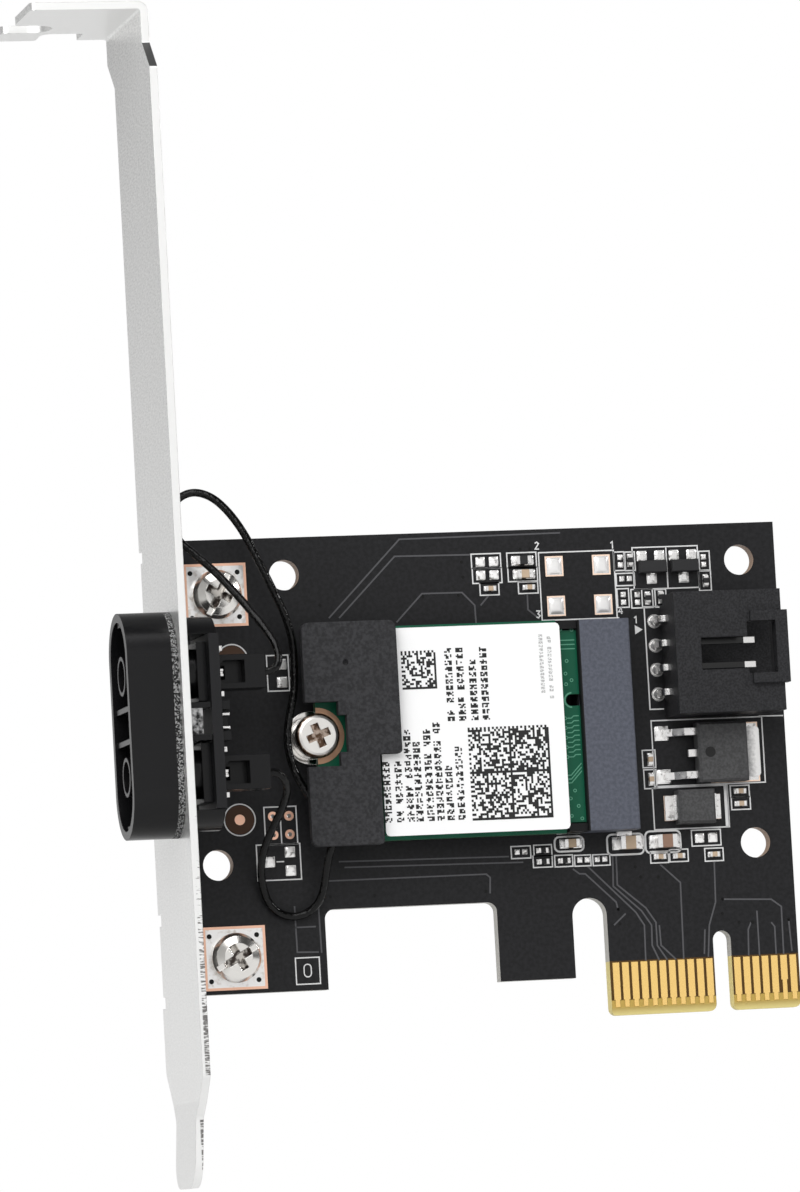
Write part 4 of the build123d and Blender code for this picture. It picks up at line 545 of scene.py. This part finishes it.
class CARD_OT_metals(bpy.types.Operator):
    """Plates the bracket, screws, pads, leads and contacts"""

    bl_idname = "card.metals"
    bl_label = "Metals"

    def execute(self, context):
        sizes, shades = context.scene.card_sizes, context.scene.card_colours
        self.bracket(sizes, shades)
        self.screws(sizes, shades)
        self.tinned(shades)
        gold, shader, place = finish("gold", shades.gold, 0.28, 1.0, HAIR_EDGE)
        (place.noise(900) * 0.14 + 0.2).into(shader, "Roughness")
        dress(
            gold, "edge_contacts_front", "edge_contacts_back", "module_contacts", "coax_receptacles",
            "lead_plugs", "socket_sleeves",
        )
        dress(finish("bare_copper", shades.copper, 0.35, 1.0)[0], "copper_marks")
        return {"FINISHED"}

    def bracket(self, sizes, shades):
        """Flecked sheet, torn on the inner half of its near edge low down, with a painted dark reflection on the
        slanted face under its fold.
        """
        steel, shader, place = finish("plated_steel", shades.steel, 0.32, 0.85, sizes.edge)
        speckle = place.stretch(1.0, 0.25, 1.0).noise(5200)
        facing = place.facing()
        share = abs(facing.x) * (place.z * 8.0 + 0.3).clamp()
        fleck = (speckle * 2.4 - 1.2) * share + 0.6
        sheet = fleck.mix([0.8 * c for c in shades.steel], [1.12 * c for c in shades.steel])
        edge = (facing.y < -0.95) * (place.y < float(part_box("bracket")[0][1]) + 0.005)
        inner = (place.x - float(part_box("antenna_gasket")[1][0])) * 9000.0 - 2.3
        fade = place.math("MAXIMUM", place.z, 0.0) * 110.0
        torn = place.stretch(0.2, 1.0, 1.0).noise(6400) * 9.0 - fade - 3.6
        sheet = (torn.clamp() * inner.clamp() * edge).mix(sheet, (0.19, 0.185, 0.18))
        # Painted reflection: the slanted face under the fold is painted dark grey, standing in for the dark
        # surroundings it reflects.
        painted_dark_jog = (facing.y < -0.4) * (facing.z > 0.4)
        painted_dark_jog.mix(sheet, (0.16, 0.16, 0.16)).into(shader)
        dress(steel, "bracket")

    def screws(self, sizes, shades):
        """Bright screws with painted shade in their recesses, and the standoff."""
        dress(finish("bright_nickel", shades.nickel, 0.14, 1.0, sizes.edge)[0], "module_standoff")
        head, shader, place = finish("screw_head", shades.nickel, 0.2, 1.0, sizes.edge)
        screws = islands("bracket_screws")
        near = place.y * 0.0
        for x, z in middles(screws) * MM:
            near = near + (place.apart(x, z) < 0.0016 ** 2)
        # Painted shade: in each screw's recess, deeper than its face, the nickel is painted dark, mottled between
        # near black and grey.
        shaded_recess = near * (place.y > float(screws[0, 4]) * MM + 0.00045)
        painted_recess_shade = (place.noise(1300) * 9.0 - 4.0).mix((0.05, 0.04, 0.035), (0.55, 0.52, 0.48))
        shaded_recess.mix(shades.nickel, painted_recess_shade).into(shader)
        dress(head, "bracket_screws")
        pale, shader, place = finish("pale_screw", shades.nickel, 0.35, 1.0, sizes.edge)
        top = float(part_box("module_screw")[0][1])
        # Painted shade: below the module screw's top, its recess is painted a dark brownish tone, mottled.
        painted_recess_shade = (place.noise(1600) * 9.0 - 4.0).mix((0.10, 0.06, 0.04), (0.45, 0.36, 0.30))
        (place.y > top + 0.0001).mix(shades.nickel, painted_recess_shade).into(shader)
        dress(pale, "module_screw")

    def tinned(self, shades):
        """Tinned leads, pads and pins, the shield and the latch's spring."""
        clip, shader, place = finish("spring_steel", (0.30, 0.30, 0.30), 0.3, 1.0, FINE_EDGE)
        mottled(place, (0.25, 0.25, 0.25), 1800, 0.9).into(shader)
        dress(clip, "latch_spring")
        tin, shader, place = finish("tin", shades.tin, 0.30, 1.0, FINE_EDGE)
        (place.noise(1500) * 0.3 + 0.15).into(shader, "Roughness")
        (place.noise(2400) * 7.0 - 1.9).mix((0.28, 0.27, 0.26), shades.tin).into(shader)
        grain(shader, place, 1400, 0.00003, FINE_EDGE)
        dress(
            tin, "solder_pads", "chip_end_caps", "transistor_leads", "regulator_leads", "diode_terminals",
            "socket_contacts", "socket_hold_downs", "latch_pins", "fork_contacts", "ground_posts", "socket_pins",
        )
        stained, shader, place = finish("stained_pad", shades.tin, 0.3, 1.0)
        (place.noise(1900, 5.0) * 5.0 - 1.5).mix((0.58, 0.54, 0.50), shades.tin).into(shader)
        grain(shader, place, 1500, 0.00003)
        dress(stained, "screw_pads")
        tab, shader, place = finish("tab_with_painted_shade", shades.tin, 0.3, 1.0, FINE_EDGE)
        body = float(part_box("regulator_body")[1][0])
        # Painted shade: the tab is painted dark grey next to the regulator's body, turning to tin away from it.
        fade = (place.x - body) * 900.0 + place.noise(3500) * 0.8 - 0.6
        fade.mix((0.16, 0.16, 0.16), shades.tin).into(shader)
        grain(shader, place, 2600, 0.00002, FINE_EDGE)
        dress(tab, "regulator_tab")
        pins, shader, place = finish("header_pin", shades.tin, 0.25, 1.0, SHEET_EDGE)
        wall = float(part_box("header_shroud")[0][0]) + 0.001
        tip = float(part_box("header_pins")[1][0]) - 0.0012
        # Painted shade: between the shroud's wall and the tips, the pins are painted near black for the shade in
        # the slot; the tips stay tinned.
        painted_shade_inside = (place.x > wall) * (place.x < tip)
        painted_shade_inside.mix(shades.tin, (0.04, 0.04, 0.04)).into(shader)
        dress(pins, "header_pins")
        dress(finish("shield_tin", shades.tin, 0.35, 1.0, SHEET_EDGE)[0], "module_shield")


class CARD_OT_boards(bpy.types.Operator):
    """Gives the boards their solder mask, cut edges and bare margin"""

    bl_idname = "card.boards"
    bl_label = "Boards"

    def execute(self, context):
        shades = context.scene.card_colours
        mask, shader, place = finish("black_mask", shades.mask, 0.45, 0.0, HAIR_EDGE)
        x, z = place.x, place.z
        bare = (z < MARGIN_TOP) * (x > MARGIN_LEFT)
        cloud = place.noise(2400, 4)
        base = (cloud * 4.0 - 1.5).mix([0.75 * c for c in shades.mask], [1.3 * c for c in shades.mask])
        foot = float(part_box("edge_contacts_front")[0][2])
        below = ((foot - z) * 1400.0).mix(shades.margin, shades.margin_tip)
        base = bare.mix(base, (z > foot + 0.0007).mix(below, shades.margin_gap))
        wall = bare * 0.0
        for hole_x, hole_z in np.array(PLAIN_HOLES) * MM:
            wall = place.math("MAXIMUM", wall, place.apart(hole_x, hole_z) < (HOLE_REACH * MM) ** 2)
        sides = bare.mix(wall.mix(shades.core, shades.wall), shades.margin_tip)
        self.cut(place).mix(base, sides).into(shader)
        (cloud * 0.12 + 0.40).into(shader, "Roughness")
        dress(mask, "circuit_board")
        dress(finish("small_board_mask", shades.mask, 0.5, 0.0, FINE_EDGE)[0], "antenna_board")
        green, shader, place = finish("green_mask", shades.green, 0.3, 0.0, HAIR_EDGE)
        self.cut(place).mix(shades.green, (0.05, 0.12, 0.06)).into(shader)
        dress(green, "module_board")
        return {"FINISHED"}

    def cut(self, place):
        """Where a board's surface is its cut edge."""
        return abs(place.facing().y) < 0.5


class CARD_OT_mouldings(bpy.types.Operator):
    """Finishes the moulded, rubber, ceramic and paper pieces"""

    bl_idname = "card.mouldings"
    bl_label = "Mouldings"

    def execute(self, context):
        sizes, shades = context.scene.card_sizes, context.scene.card_colours
        satin, shader, place = finish("satin_black", shades.black, 0.24, 0.0, sizes.edge, 0.22)
        grain(shader, place, 5000, 0.000006, sizes.edge)
        dress(satin, "antenna_housing", "coax_barrels", "latch_block", "lead_holder_upper", "lead_holder_lower")
        coarse, shader, place = finish("grained_black", [2.8 * c for c in shades.black], 0.55, 0.0, sizes.edge)
        mottled(place, [3.2 * c for c in shades.black], 4800, 0.4).into(shader)
        grain(shader, place, 4200, 0.00005, sizes.edge)
        dress(coarse, "header_shroud")
        foam, shader, place = finish("foam", (0.07, 0.07, 0.07), 0.85, 0.0, MOULD_EDGE)
        (place.noise(6800) * 14.0 - 6.8).mix((0.008,) * 3, (0.27,) * 3).into(shader)
        grain(shader, place, 6800, 0.00004)
        dress(foam, "antenna_gasket")
        rubber, shader, place = finish("matt_rubber", shades.rubber, 0.75, 0.0, SOFT_EDGE)
        mottled(place, shades.rubber, 3200, 0.3).into(shader)
        grain(shader, place, 2600, 0.00002, SOFT_EDGE)
        dress(rubber, "cover_pad")
        slate, shader, place = finish("slate_moulding", shades.slate, 0.5, 0.0, MOULD_EDGE)
        # Left of this x the socket is painted black: its dark end tabs, and a painted shadow along its left lip.
        tabs_and_shadow_edge = float(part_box("module_socket")[0][0]) + 0.0021
        tone = mottled(place, shades.slate, 2800, 0.14)
        (place.x < tabs_and_shadow_edge).mix(tone, shades.black).into(shader)
        grain(shader, place, 4000, 0.00001, MOULD_EDGE)
        dress(slate, "module_socket")
        self.chips()
        dress(finish("label_paper", shades.label, 0.55)[0], "module_label")
        return {"FINISHED"}

    def chips(self):
        """Black packages, the regulator with its mould mark, and chip capacitors in two browns."""
        package, shader, place = finish("package_black", (0.022, 0.022, 0.023), 0.45, 0.0, CHIP_EDGE)
        grain(shader, place, 5000, 0.00001, CHIP_EDGE)
        dress(package, "transistor_bodies", "resistor_bodies")
        grey = (0.052, 0.052, 0.053)
        large, shader, place = finish("regulator_black", grey, 0.5, 0.0, CHIP_EDGE)
        mottled(place, grey, 4000, 0.2).into(shader)
        grain(shader, place, 5000, 0.00001, CHIP_EDGE)
        dress(large, "regulator_body", "diode_body")
        mark, _, _ = finish("mould_mark", (0.012, 0.012, 0.012), 0.5)
        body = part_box("regulator_body")
        dimple = np.array([(0.77 * body[0][0] + 0.23 * body[1][0], (body[0][2] + body[1][2]) / 2)]) / MM
        piece("mould_mark", *rounds(dimple, 0.55, float(body[0][1]) / MM, 0.01), mark, "regulator_body")
        ceramic, shader, place = finish("fired_ceramic", (0.42, 0.29, 0.19), 0.45, 0.0, SHEET_EDGE)
        x, z = place.x, place.z
        left, right, low, high = BROWN_CHIP
        brown = (x > left) * (x < right) * (z < high) * (z > low)
        brown.mix((0.46, 0.35, 0.25), (0.23, 0.14, 0.10)).into(shader)
        dress(ceramic, "capacitor_bodies")


class CARD_OT_board_print(bpy.types.Operator):
    """Prints the white outlines and plain numbers on the board"""

    bl_idname = "card.board_print"
    bl_label = "Board print"

    def execute(self, context):
        sizes, shades = context.scene.card_sizes, context.scene.card_colours
        line, rise = sizes.print_line / MM, sizes.print_rise / MM
        white, _, _ = finish("board_print", shades.print_white, 0.6)
        dividers = [
            [(-6.41, 44.0), (-6.41, 42.1)], [(-3.55, 48.35), (-3.55, 44.1)], [(-46.05, 22.9), (-46.05, 19.2)],
            [(-4.75, 42.2), (-6.25, 42.2), (-6.25, 31.5), (-4.75, 31.5)], [(-46.7, 17.35), (-45.9, 17.35)],
            [(-8.85, 40.6), (-8.85, 19.1), (-9.5, 18.95)], [(-17.0, 19.0), (-14.5, 19.0)],
            [(5.4, 30.38), (8.05, 30.33)],
        ]
        one = np.array([(-0.15, 0.2), (0.05, 0.36), (0.05, -0.36)])
        two = np.array([(-0.2, 0.25), (0, 0.36), (0.2, 0.2), (-0.2, -0.36), (0.22, -0.36)])
        three = np.array([(-0.2, 0.36), (0.2, 0.36), (-0.02, 0.06), (0.2, -0.15), (0, -0.36), (-0.2, -0.25)])
        four = np.array([(0.1, -0.36), (0.1, 0.36), (-0.22, -0.12), (0.24, -0.12)])
        numbers = [
            two + (-17.36, 48.95), one + (-9.31, 48.75), three + (-17.62, 41.8), four + (-8.79, 41.9),
            one + (-7.23, 40.87),
        ]
        points, faces = joined(
            strips(box_paths(PRINT_BOXES), line, BOARD_FACE, rise, True),
            strips(round_paths(ROUND_BOXES, 0.5), 1.5 * line, BOARD_FACE, rise, True),
            strips(round_paths([(-44.05, 6.1, 0.75, 1.3)], 0.37), 0.9 * line, BOARD_FACE, rise, True),
            strips(dividers + numbers, line, BOARD_FACE, rise),
            strips(circles(FIDUCIALS, 1.62), line, BOARD_FACE, rise, True),
            plates([(1.16, 1.55, 19.0, 23.3)], BOARD_FACE, rise),
            rounds([(-7.09, 39.84)], 0.55, BOARD_FACE, rise, 3),
        )
        piece("board_print", points, faces, white, "circuit_board")
        return {"FINISHED"}


class CARD_OT_traces(bpy.types.Operator):
    """Draws the traces under the mask, their vias and the brown discs of the fiducials"""

    bl_idname = "card.traces"
    bl_label = "Traces"

    def execute(self, context):
        sizes, shades = context.scene.card_sizes, context.scene.card_colours
        line, rise, via = sizes.trace_line / MM, sizes.trace_rise / MM, sizes.via / MM
        grey, _, _ = finish("masked_trace", shades.trace, 0.45)
        piece("board_traces", *strips(TRACES, line, BOARD_FACE, rise), grey, "circuit_board")
        dark, _, _ = finish("masked_via", shades.via_dark, 0.5)
        pads = islands("screw_pads")
        corners = np.array([(x, z) for x in (-2.6, 2.35) for z in (-2.3, 2.3)])
        screws = (middles(pads)[:, None] + corners).reshape(-1, 2)
        points, faces = joined(
            rounds(VIAS, via / 2, BOARD_FACE, rise, 16), rounds(screws, 0.26, float(pads[0, 4]), 0.01, 16),
        )
        piece("vias", points, faces, dark, "circuit_board")
        brown, _, _ = finish("fiducial_clearance", (0.055, 0.028, 0.016), 0.5)
        piece("fiducial_discs", *rounds(FIDUCIALS, 1.5, BOARD_FACE, rise, 32), brown, "copper_marks")
        light, _, _ = finish("module_trace", shades.green_trace, 0.35)
        points, faces = joined(
            strips(MODULE_TRACES, 0.1, MODULE_FACE, rise),
            strips(circles(MODULE_VIAS, 0.15, 16), 0.08, MODULE_FACE, rise, True),
            half_ring(MODULE_NOTCH, 0.66, 0.82, MODULE_FACE, rise, -1),
        )
        piece("module_traces", points, faces, light, "module_board")
        return {"FINISHED"}


class CARD_OT_solder(bpy.types.Operator):
    """Mounds solder on the pads and bares the copper round the larger ones"""

    bl_idname = "card.solder"
    bl_label = "Solder"

    def execute(self, context):
        sizes, shades = context.scene.card_sizes, context.scene.card_colours
        pads = islands("solder_pads", 8)
        face = float(pads[0, 4])
        tin, shader, place = finish("solder", [1.1 * c for c in shades.tin], 0.24, 0.55)
        bright = [1.15 * c for c in shades.tin]
        (place.noise(2600) * 7.0 - 2.1).mix((0.24, 0.23, 0.22), bright).into(shader)
        grain(shader, place, 2200, 0.00003)
        rise, rim = sizes.solder / MM, sizes.rim / MM
        across = np.minimum(pads[:, 1] - pads[:, 0], pads[:, 3] - pads[:, 2])
        small, large = pads[across < RIMMED_PAD], pads[across > RIMMED_PAD]
        square = large[large[:, 1] - large[:, 0] < HEAPED_PAD]
        piece("solder_mounds", *domes(small[:, :4], face, rise, 4), tin, "solder_pads")
        even, _, _ = finish("even_solder", shades.tin, 0.32, 0.55)
        inset = square[:, :4] + 1.4 * rim * np.array([1, -1, 1, -1])
        piece("square_mounds", *domes(inset, face, 1.5 * rise, 4, 17), even, "solder_pads", True)
        for name, boxes, band, tone in (
            ("pad_rims", large, rim, shades.copper_pale),
            ("screw_pad_rims", islands("screw_pads"), 1.8 * rim, shades.copper),
        ):
            copper, _, _ = finish(name, tone, 0.4, 0.6)
            wide = np.stack([boxes[:, 1] - boxes[:, 0], boxes[:, 3] - boxes[:, 2]], 1) - band
            top = float(boxes[0, 4])
            points, faces = strips(box_paths(np.hstack([middles(boxes), wide])), band, top, 0.012, True)
            piece(name, points, faces, copper, "solder_pads")
        joints = islands("header_solder")
        spots, half = np.unique(np.round(middles(joints), 2), axis=0), (joints[0, 1] - joints[0, 0]) / 2
        smooth, _, _ = finish("smooth_solder", shades.tin, 0.2, 0.8)
        shapes = [
            heaps(spots, 0.9 * half, BOARD_FACE, -0.9 * half), heaps(spots, half, -BOARD_FACE, half),
            rounds(spots, 1.15 * half, BOARD_FACE, 0.03),
        ]
        made = piece("header_joints", *joined(*shapes), smooth, "header_solder", True)
        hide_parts("header_solder")
        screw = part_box("module_screw")
        axis = np.array([(screw[0][0] + screw[1][0]) / 2, (screw[0][2] + screw[1][2]) / 2]) / MM
        ring, _, _ = finish("plated_ring", (0.42, 0.25, 0.16), 0.35, 0.7)
        piece("plated_ring", *half_ring(axis, 1.8, 2.9, MODULE_FACE, 0.03), ring, "module_board")
        return {"FINISHED"}


class CARD_OT_label_print(bpy.types.Operator):
    """Prints blocks and dashes on the module's label"""

    bl_idname = "card.label_print"
    bl_label = "Label print"

    def execute(self, context):
        sizes, shades = context.scene.card_sizes, context.scene.card_colours
        rise = sizes.print_rise / MM
        ink, _, _ = finish("label_ink", shades.ink, 0.6)
        random = np.random.default_rng(7)
        shapes = []
        for left, right, low, high, count in LABEL_CODES:
            cell = np.array([(right - left) / count, (high - low) / count])
            dark = random.random((count, count)) < 0.5
            dark[-1, :] = True
            dark[:, 0] = True
            dark[0, :] = np.arange(count) % 2 == 0
            dark[:, -1] = np.arange(count) % 2 == 0
            if count > 30:
                dark[count // 2, :] = True
                dark[:, count // 2] = True
            across, up = np.nonzero(dark)
            x, z = left + across * cell[0], low + up * cell[1]
            shapes.append(plates(np.stack([x, x + cell[0], z, z + cell[1]], 1), LABEL_FACE, rise))
        shapes += [self.dashes(random, column, 0.64, 0.76, rise) for column in LABEL_COLUMNS]
        piece("label_print", *joined(*shapes), ink, "module_label")
        grey, _, _ = finish("label_grey_ink", (0.42, 0.42, 0.42), 0.6)
        small = [self.dashes(random, column, 0.36, 0.42, rise) for column in SMALL_COLUMNS]
        piece("label_small_print", *joined(*small), grey, "module_label")
        return {"FINISHED"}

    def dashes(self, random, column, pitch, height, rise):
        """A column of print: every pitch a patch of three by five cells, each cell inked or not by chance."""
        x, low, high = column
        rows = np.arange(low, high - 0.7 * pitch, pitch)
        rows = rows[random.random(len(rows)) < 0.92]
        which, along, across = np.nonzero(random.random((len(rows), 3, 5)) < 0.66)
        wide, tall = 0.24 * pitch, height / 5
        left, bottom = x - height / 2 + tall * across, rows[which] + wide * along
        return plates(np.stack([left, left + tall, bottom, bottom + wide], 1), LABEL_FACE, rise)


class CARD_OT_leads(bpy.types.Operator):
    """Lays the two coaxial leads along their routes"""

    bl_idname = "card.leads"
    bl_label = "Leads"

    def execute(self, context):
        sizes = context.scene.card_sizes
        jacket, shader, place = finish("lead_jacket", (0.002, 0.002, 0.002), 0.12, specular=0.22)
        grain(shader, place, 2000, 0.00012)
        for name, route, real in (
            ("antenna_lead_upper", UPPER_ROUTE, 0.0648), ("antenna_lead_lower", LOWER_ROUTE, 0.0496),
        ):
            curve = bpy.data.curves.new(name + "_cord", "CURVE")
            curve.dimensions = "3D"
            curve.bevel_depth = sizes.lead / 2
            curve.bevel_resolution = 5
            curve.use_fill_caps = True
            spline = curve.splines.new("NURBS")
            spline.points.add(len(route) - 1)
            spline.points.foreach_set("co", np.hstack([route, np.ones((len(route), 1))]).ravel())
            spline.order_u = 3
            spline.use_endpoint_u = True
            spline.resolution_u = 8
            curve.materials.append(jacket)
            lead = bpy.data.objects.new(name + "_cord", curve)
            context.collection.objects.link(lead)
            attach(lead, "root")
            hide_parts(name)
        return {"FINISHED"}


class CARD_OT_stage(bpy.types.Operator):
    """Sets the pale floor, the studio light and the camera"""

    bl_idname = "card.stage"
    bl_label = "Stage"

    def execute(self, context):
        self.floor(context.collection)
        self.world(context.scene)
        self.lamps(context.collection)
        self.camera(context)
        context.scene.view_settings.view_transform = "Standard"
        return {"FINISHED"}

    def floor(self, collection):
        """A pale floor that looks almost white to the camera and in reflections."""
        mesh = bpy.data.meshes.new("floor")
        corners = [(x, y, FLOOR) for x, y in ((-4, -4), (4, -4), (4, 4), (-4, 4))]
        mesh.from_pydata(corners, [], [(0, 1, 2, 3)])
        pale, shader, place = finish("pale_floor", (0.82, 0.82, 0.82), 0.6)
        glow = place.node("ShaderNodeEmission", None, {"Color": (1, 1, 1, 1), "Strength": 1.0})
        seen, gloss, through = self.rays(place)
        lit = Paint(pale.node_tree, shader.outputs[0])
        both = place.node("ShaderNodeMixShader", None, {0: (seen + gloss + through) * 0.6, 1: lit, 2: glow})
        both.into(pale.node_tree.nodes["Material Output"], "Surface")
        mesh.materials.append(pale)
        ground = bpy.data.objects.new("floor", mesh)
        collection.objects.link(ground)

    def world(self, scene):
        """A dim room, with white behind the card and a white patch before it that only reflections show."""
        world = bpy.data.worlds.new("studio")
        world.use_nodes = True
        scene.world = world
        tree = world.node_tree
        paint = Paint(tree)
        room = tree.nodes["Background"]
        white = tree.nodes.new("ShaderNodeBackground")
        white.inputs["Color"].default_value = (1, 1, 1, 1)
        way = paint.node("ShaderNodeTexCoord", output="Generated")
        height = paint.math("MAXIMUM", way.z, 0.0)
        behind = (way.y * 0.9 + 0.35).clamp()
        along = way.x * 0.23 - way.y * 0.97 + way.z * 0.09
        before = (along * 9.0 - 7.9).clamp()
        seen, gloss, through = self.rays(paint)
        gloss.mix((0.30, 0.30, 0.30), (0.05, 0.05, 0.05)).into(room, "Color")
        choice = tree.nodes.new("ShaderNodeMixShader")
        share = behind * paint.math("MAXIMUM", 1.0 - height * 3.6, 0.4) + before * 0.9
        (seen + (gloss + through) * share).into(choice, 0)
        tree.links.new(room.outputs[0], choice.inputs[1])
        tree.links.new(white.outputs[0], choice.inputs[2])
        tree.links.new(choice.outputs[0], tree.nodes["World Output"].inputs["Surface"])

    def lamps(self, collection):
        """Square lamps turned to one point, unseen by the camera."""
        for name, place, size, watts in LAMPS:
            lamp = bpy.data.lights.new(name, "AREA")
            lamp.size = size
            lamp.energy = watts
            lit = bpy.data.objects.new(name, lamp)
            lit.location = place
            lit.rotation_euler = Vector(LAMP_AIM - np.array(place)).to_track_quat("-Z", "Y").to_euler()
            lit.visible_camera = False
            collection.objects.link(lit)

    def camera(self, context):
        """The photograph's camera: its turn about z, its tip down and its roll about the view."""
        turn, tip, roll = np.radians([CAMERA_TURN, CAMERA_TIP, CAMERA_ROLL])
        right = np.array([math.cos(turn), -math.sin(turn), 0.0])
        ahead = np.array([math.sin(turn) * math.cos(tip), math.cos(turn) * math.cos(tip), -math.sin(tip)])
        up = np.cross(right, ahead)
        right, up = (
            right * math.cos(roll) + up * math.sin(roll),
            up * math.cos(roll) - right * math.sin(roll),
        )
        lens = bpy.data.cameras.new("camera")
        lens.sensor_width = SENSOR
        lens.lens = FOCAL_PIXELS * SENSOR / PHOTO_PIXELS
        lens.clip_start, lens.clip_end = 0.05, 20
        camera = bpy.data.objects.new("camera", lens)
        place = np.eye(4)
        place[:3, :3] = np.stack([right, up, -ahead], 1)
        place[:3, 3] = np.array(CAMERA_PLACE) * MM
        camera.matrix_world = Matrix(place.tolist())
        context.collection.objects.link(camera)
        context.scene.camera = camera

    def rays(self, paint):
        """Whether a ray comes from the camera, off a shiny surface or through a clear one."""
        kinds = ("Camera", "Glossy", "Transmission")
        return [paint.node("ShaderNodeLightPath", output=f"Is {kind} Ray") for kind in kinds]


PIECES = (
    CARD_OT_metals, CARD_OT_boards, CARD_OT_mouldings, CARD_OT_board_print, CARD_OT_traces, CARD_OT_solder,
    CARD_OT_label_print, CARD_OT_leads,
)


class CARD_PT_panel(bpy.types.Panel):
    """Lists the card's sizes, colours and pieces"""

    bl_idname = "CARD_PT_panel"
    bl_label = "Wireless card"
    bl_space_type = "VIEW_3D"
    bl_region_type = "UI"
    bl_category = "Card"

    def draw(self, context):
        for group in (context.scene.card_sizes, context.scene.card_colours):
            for name in group.__annotations__:
                self.layout.prop(group, name)
        for operator in PIECES + (CARD_OT_stage,):
            self.layout.operator(operator.bl_idname)


CLASSES = (CardSizes, CardColours, *PIECES, CARD_OT_stage, CARD_PT_panel)


def register():
    for each in CLASSES:
        bpy.utils.register_class(each)
    bpy.types.Scene.card_sizes = bpy.props.PointerProperty(type=CardSizes)
    bpy.types.Scene.card_colours = bpy.props.PointerProperty(type=CardColours)


def unregister():
    del bpy.types.Scene.card_colours
    del bpy.types.Scene.card_sizes
    for each in reversed(CLASSES):
        bpy.utils.unregister_class(each)


def main():
    register()
    for operator in PIECES + (CARD_OT_stage,):
        group, name = operator.bl_idname.split(".")
        getattr(getattr(bpy.ops, group), name)()


if __name__ == "__main__":
    main()
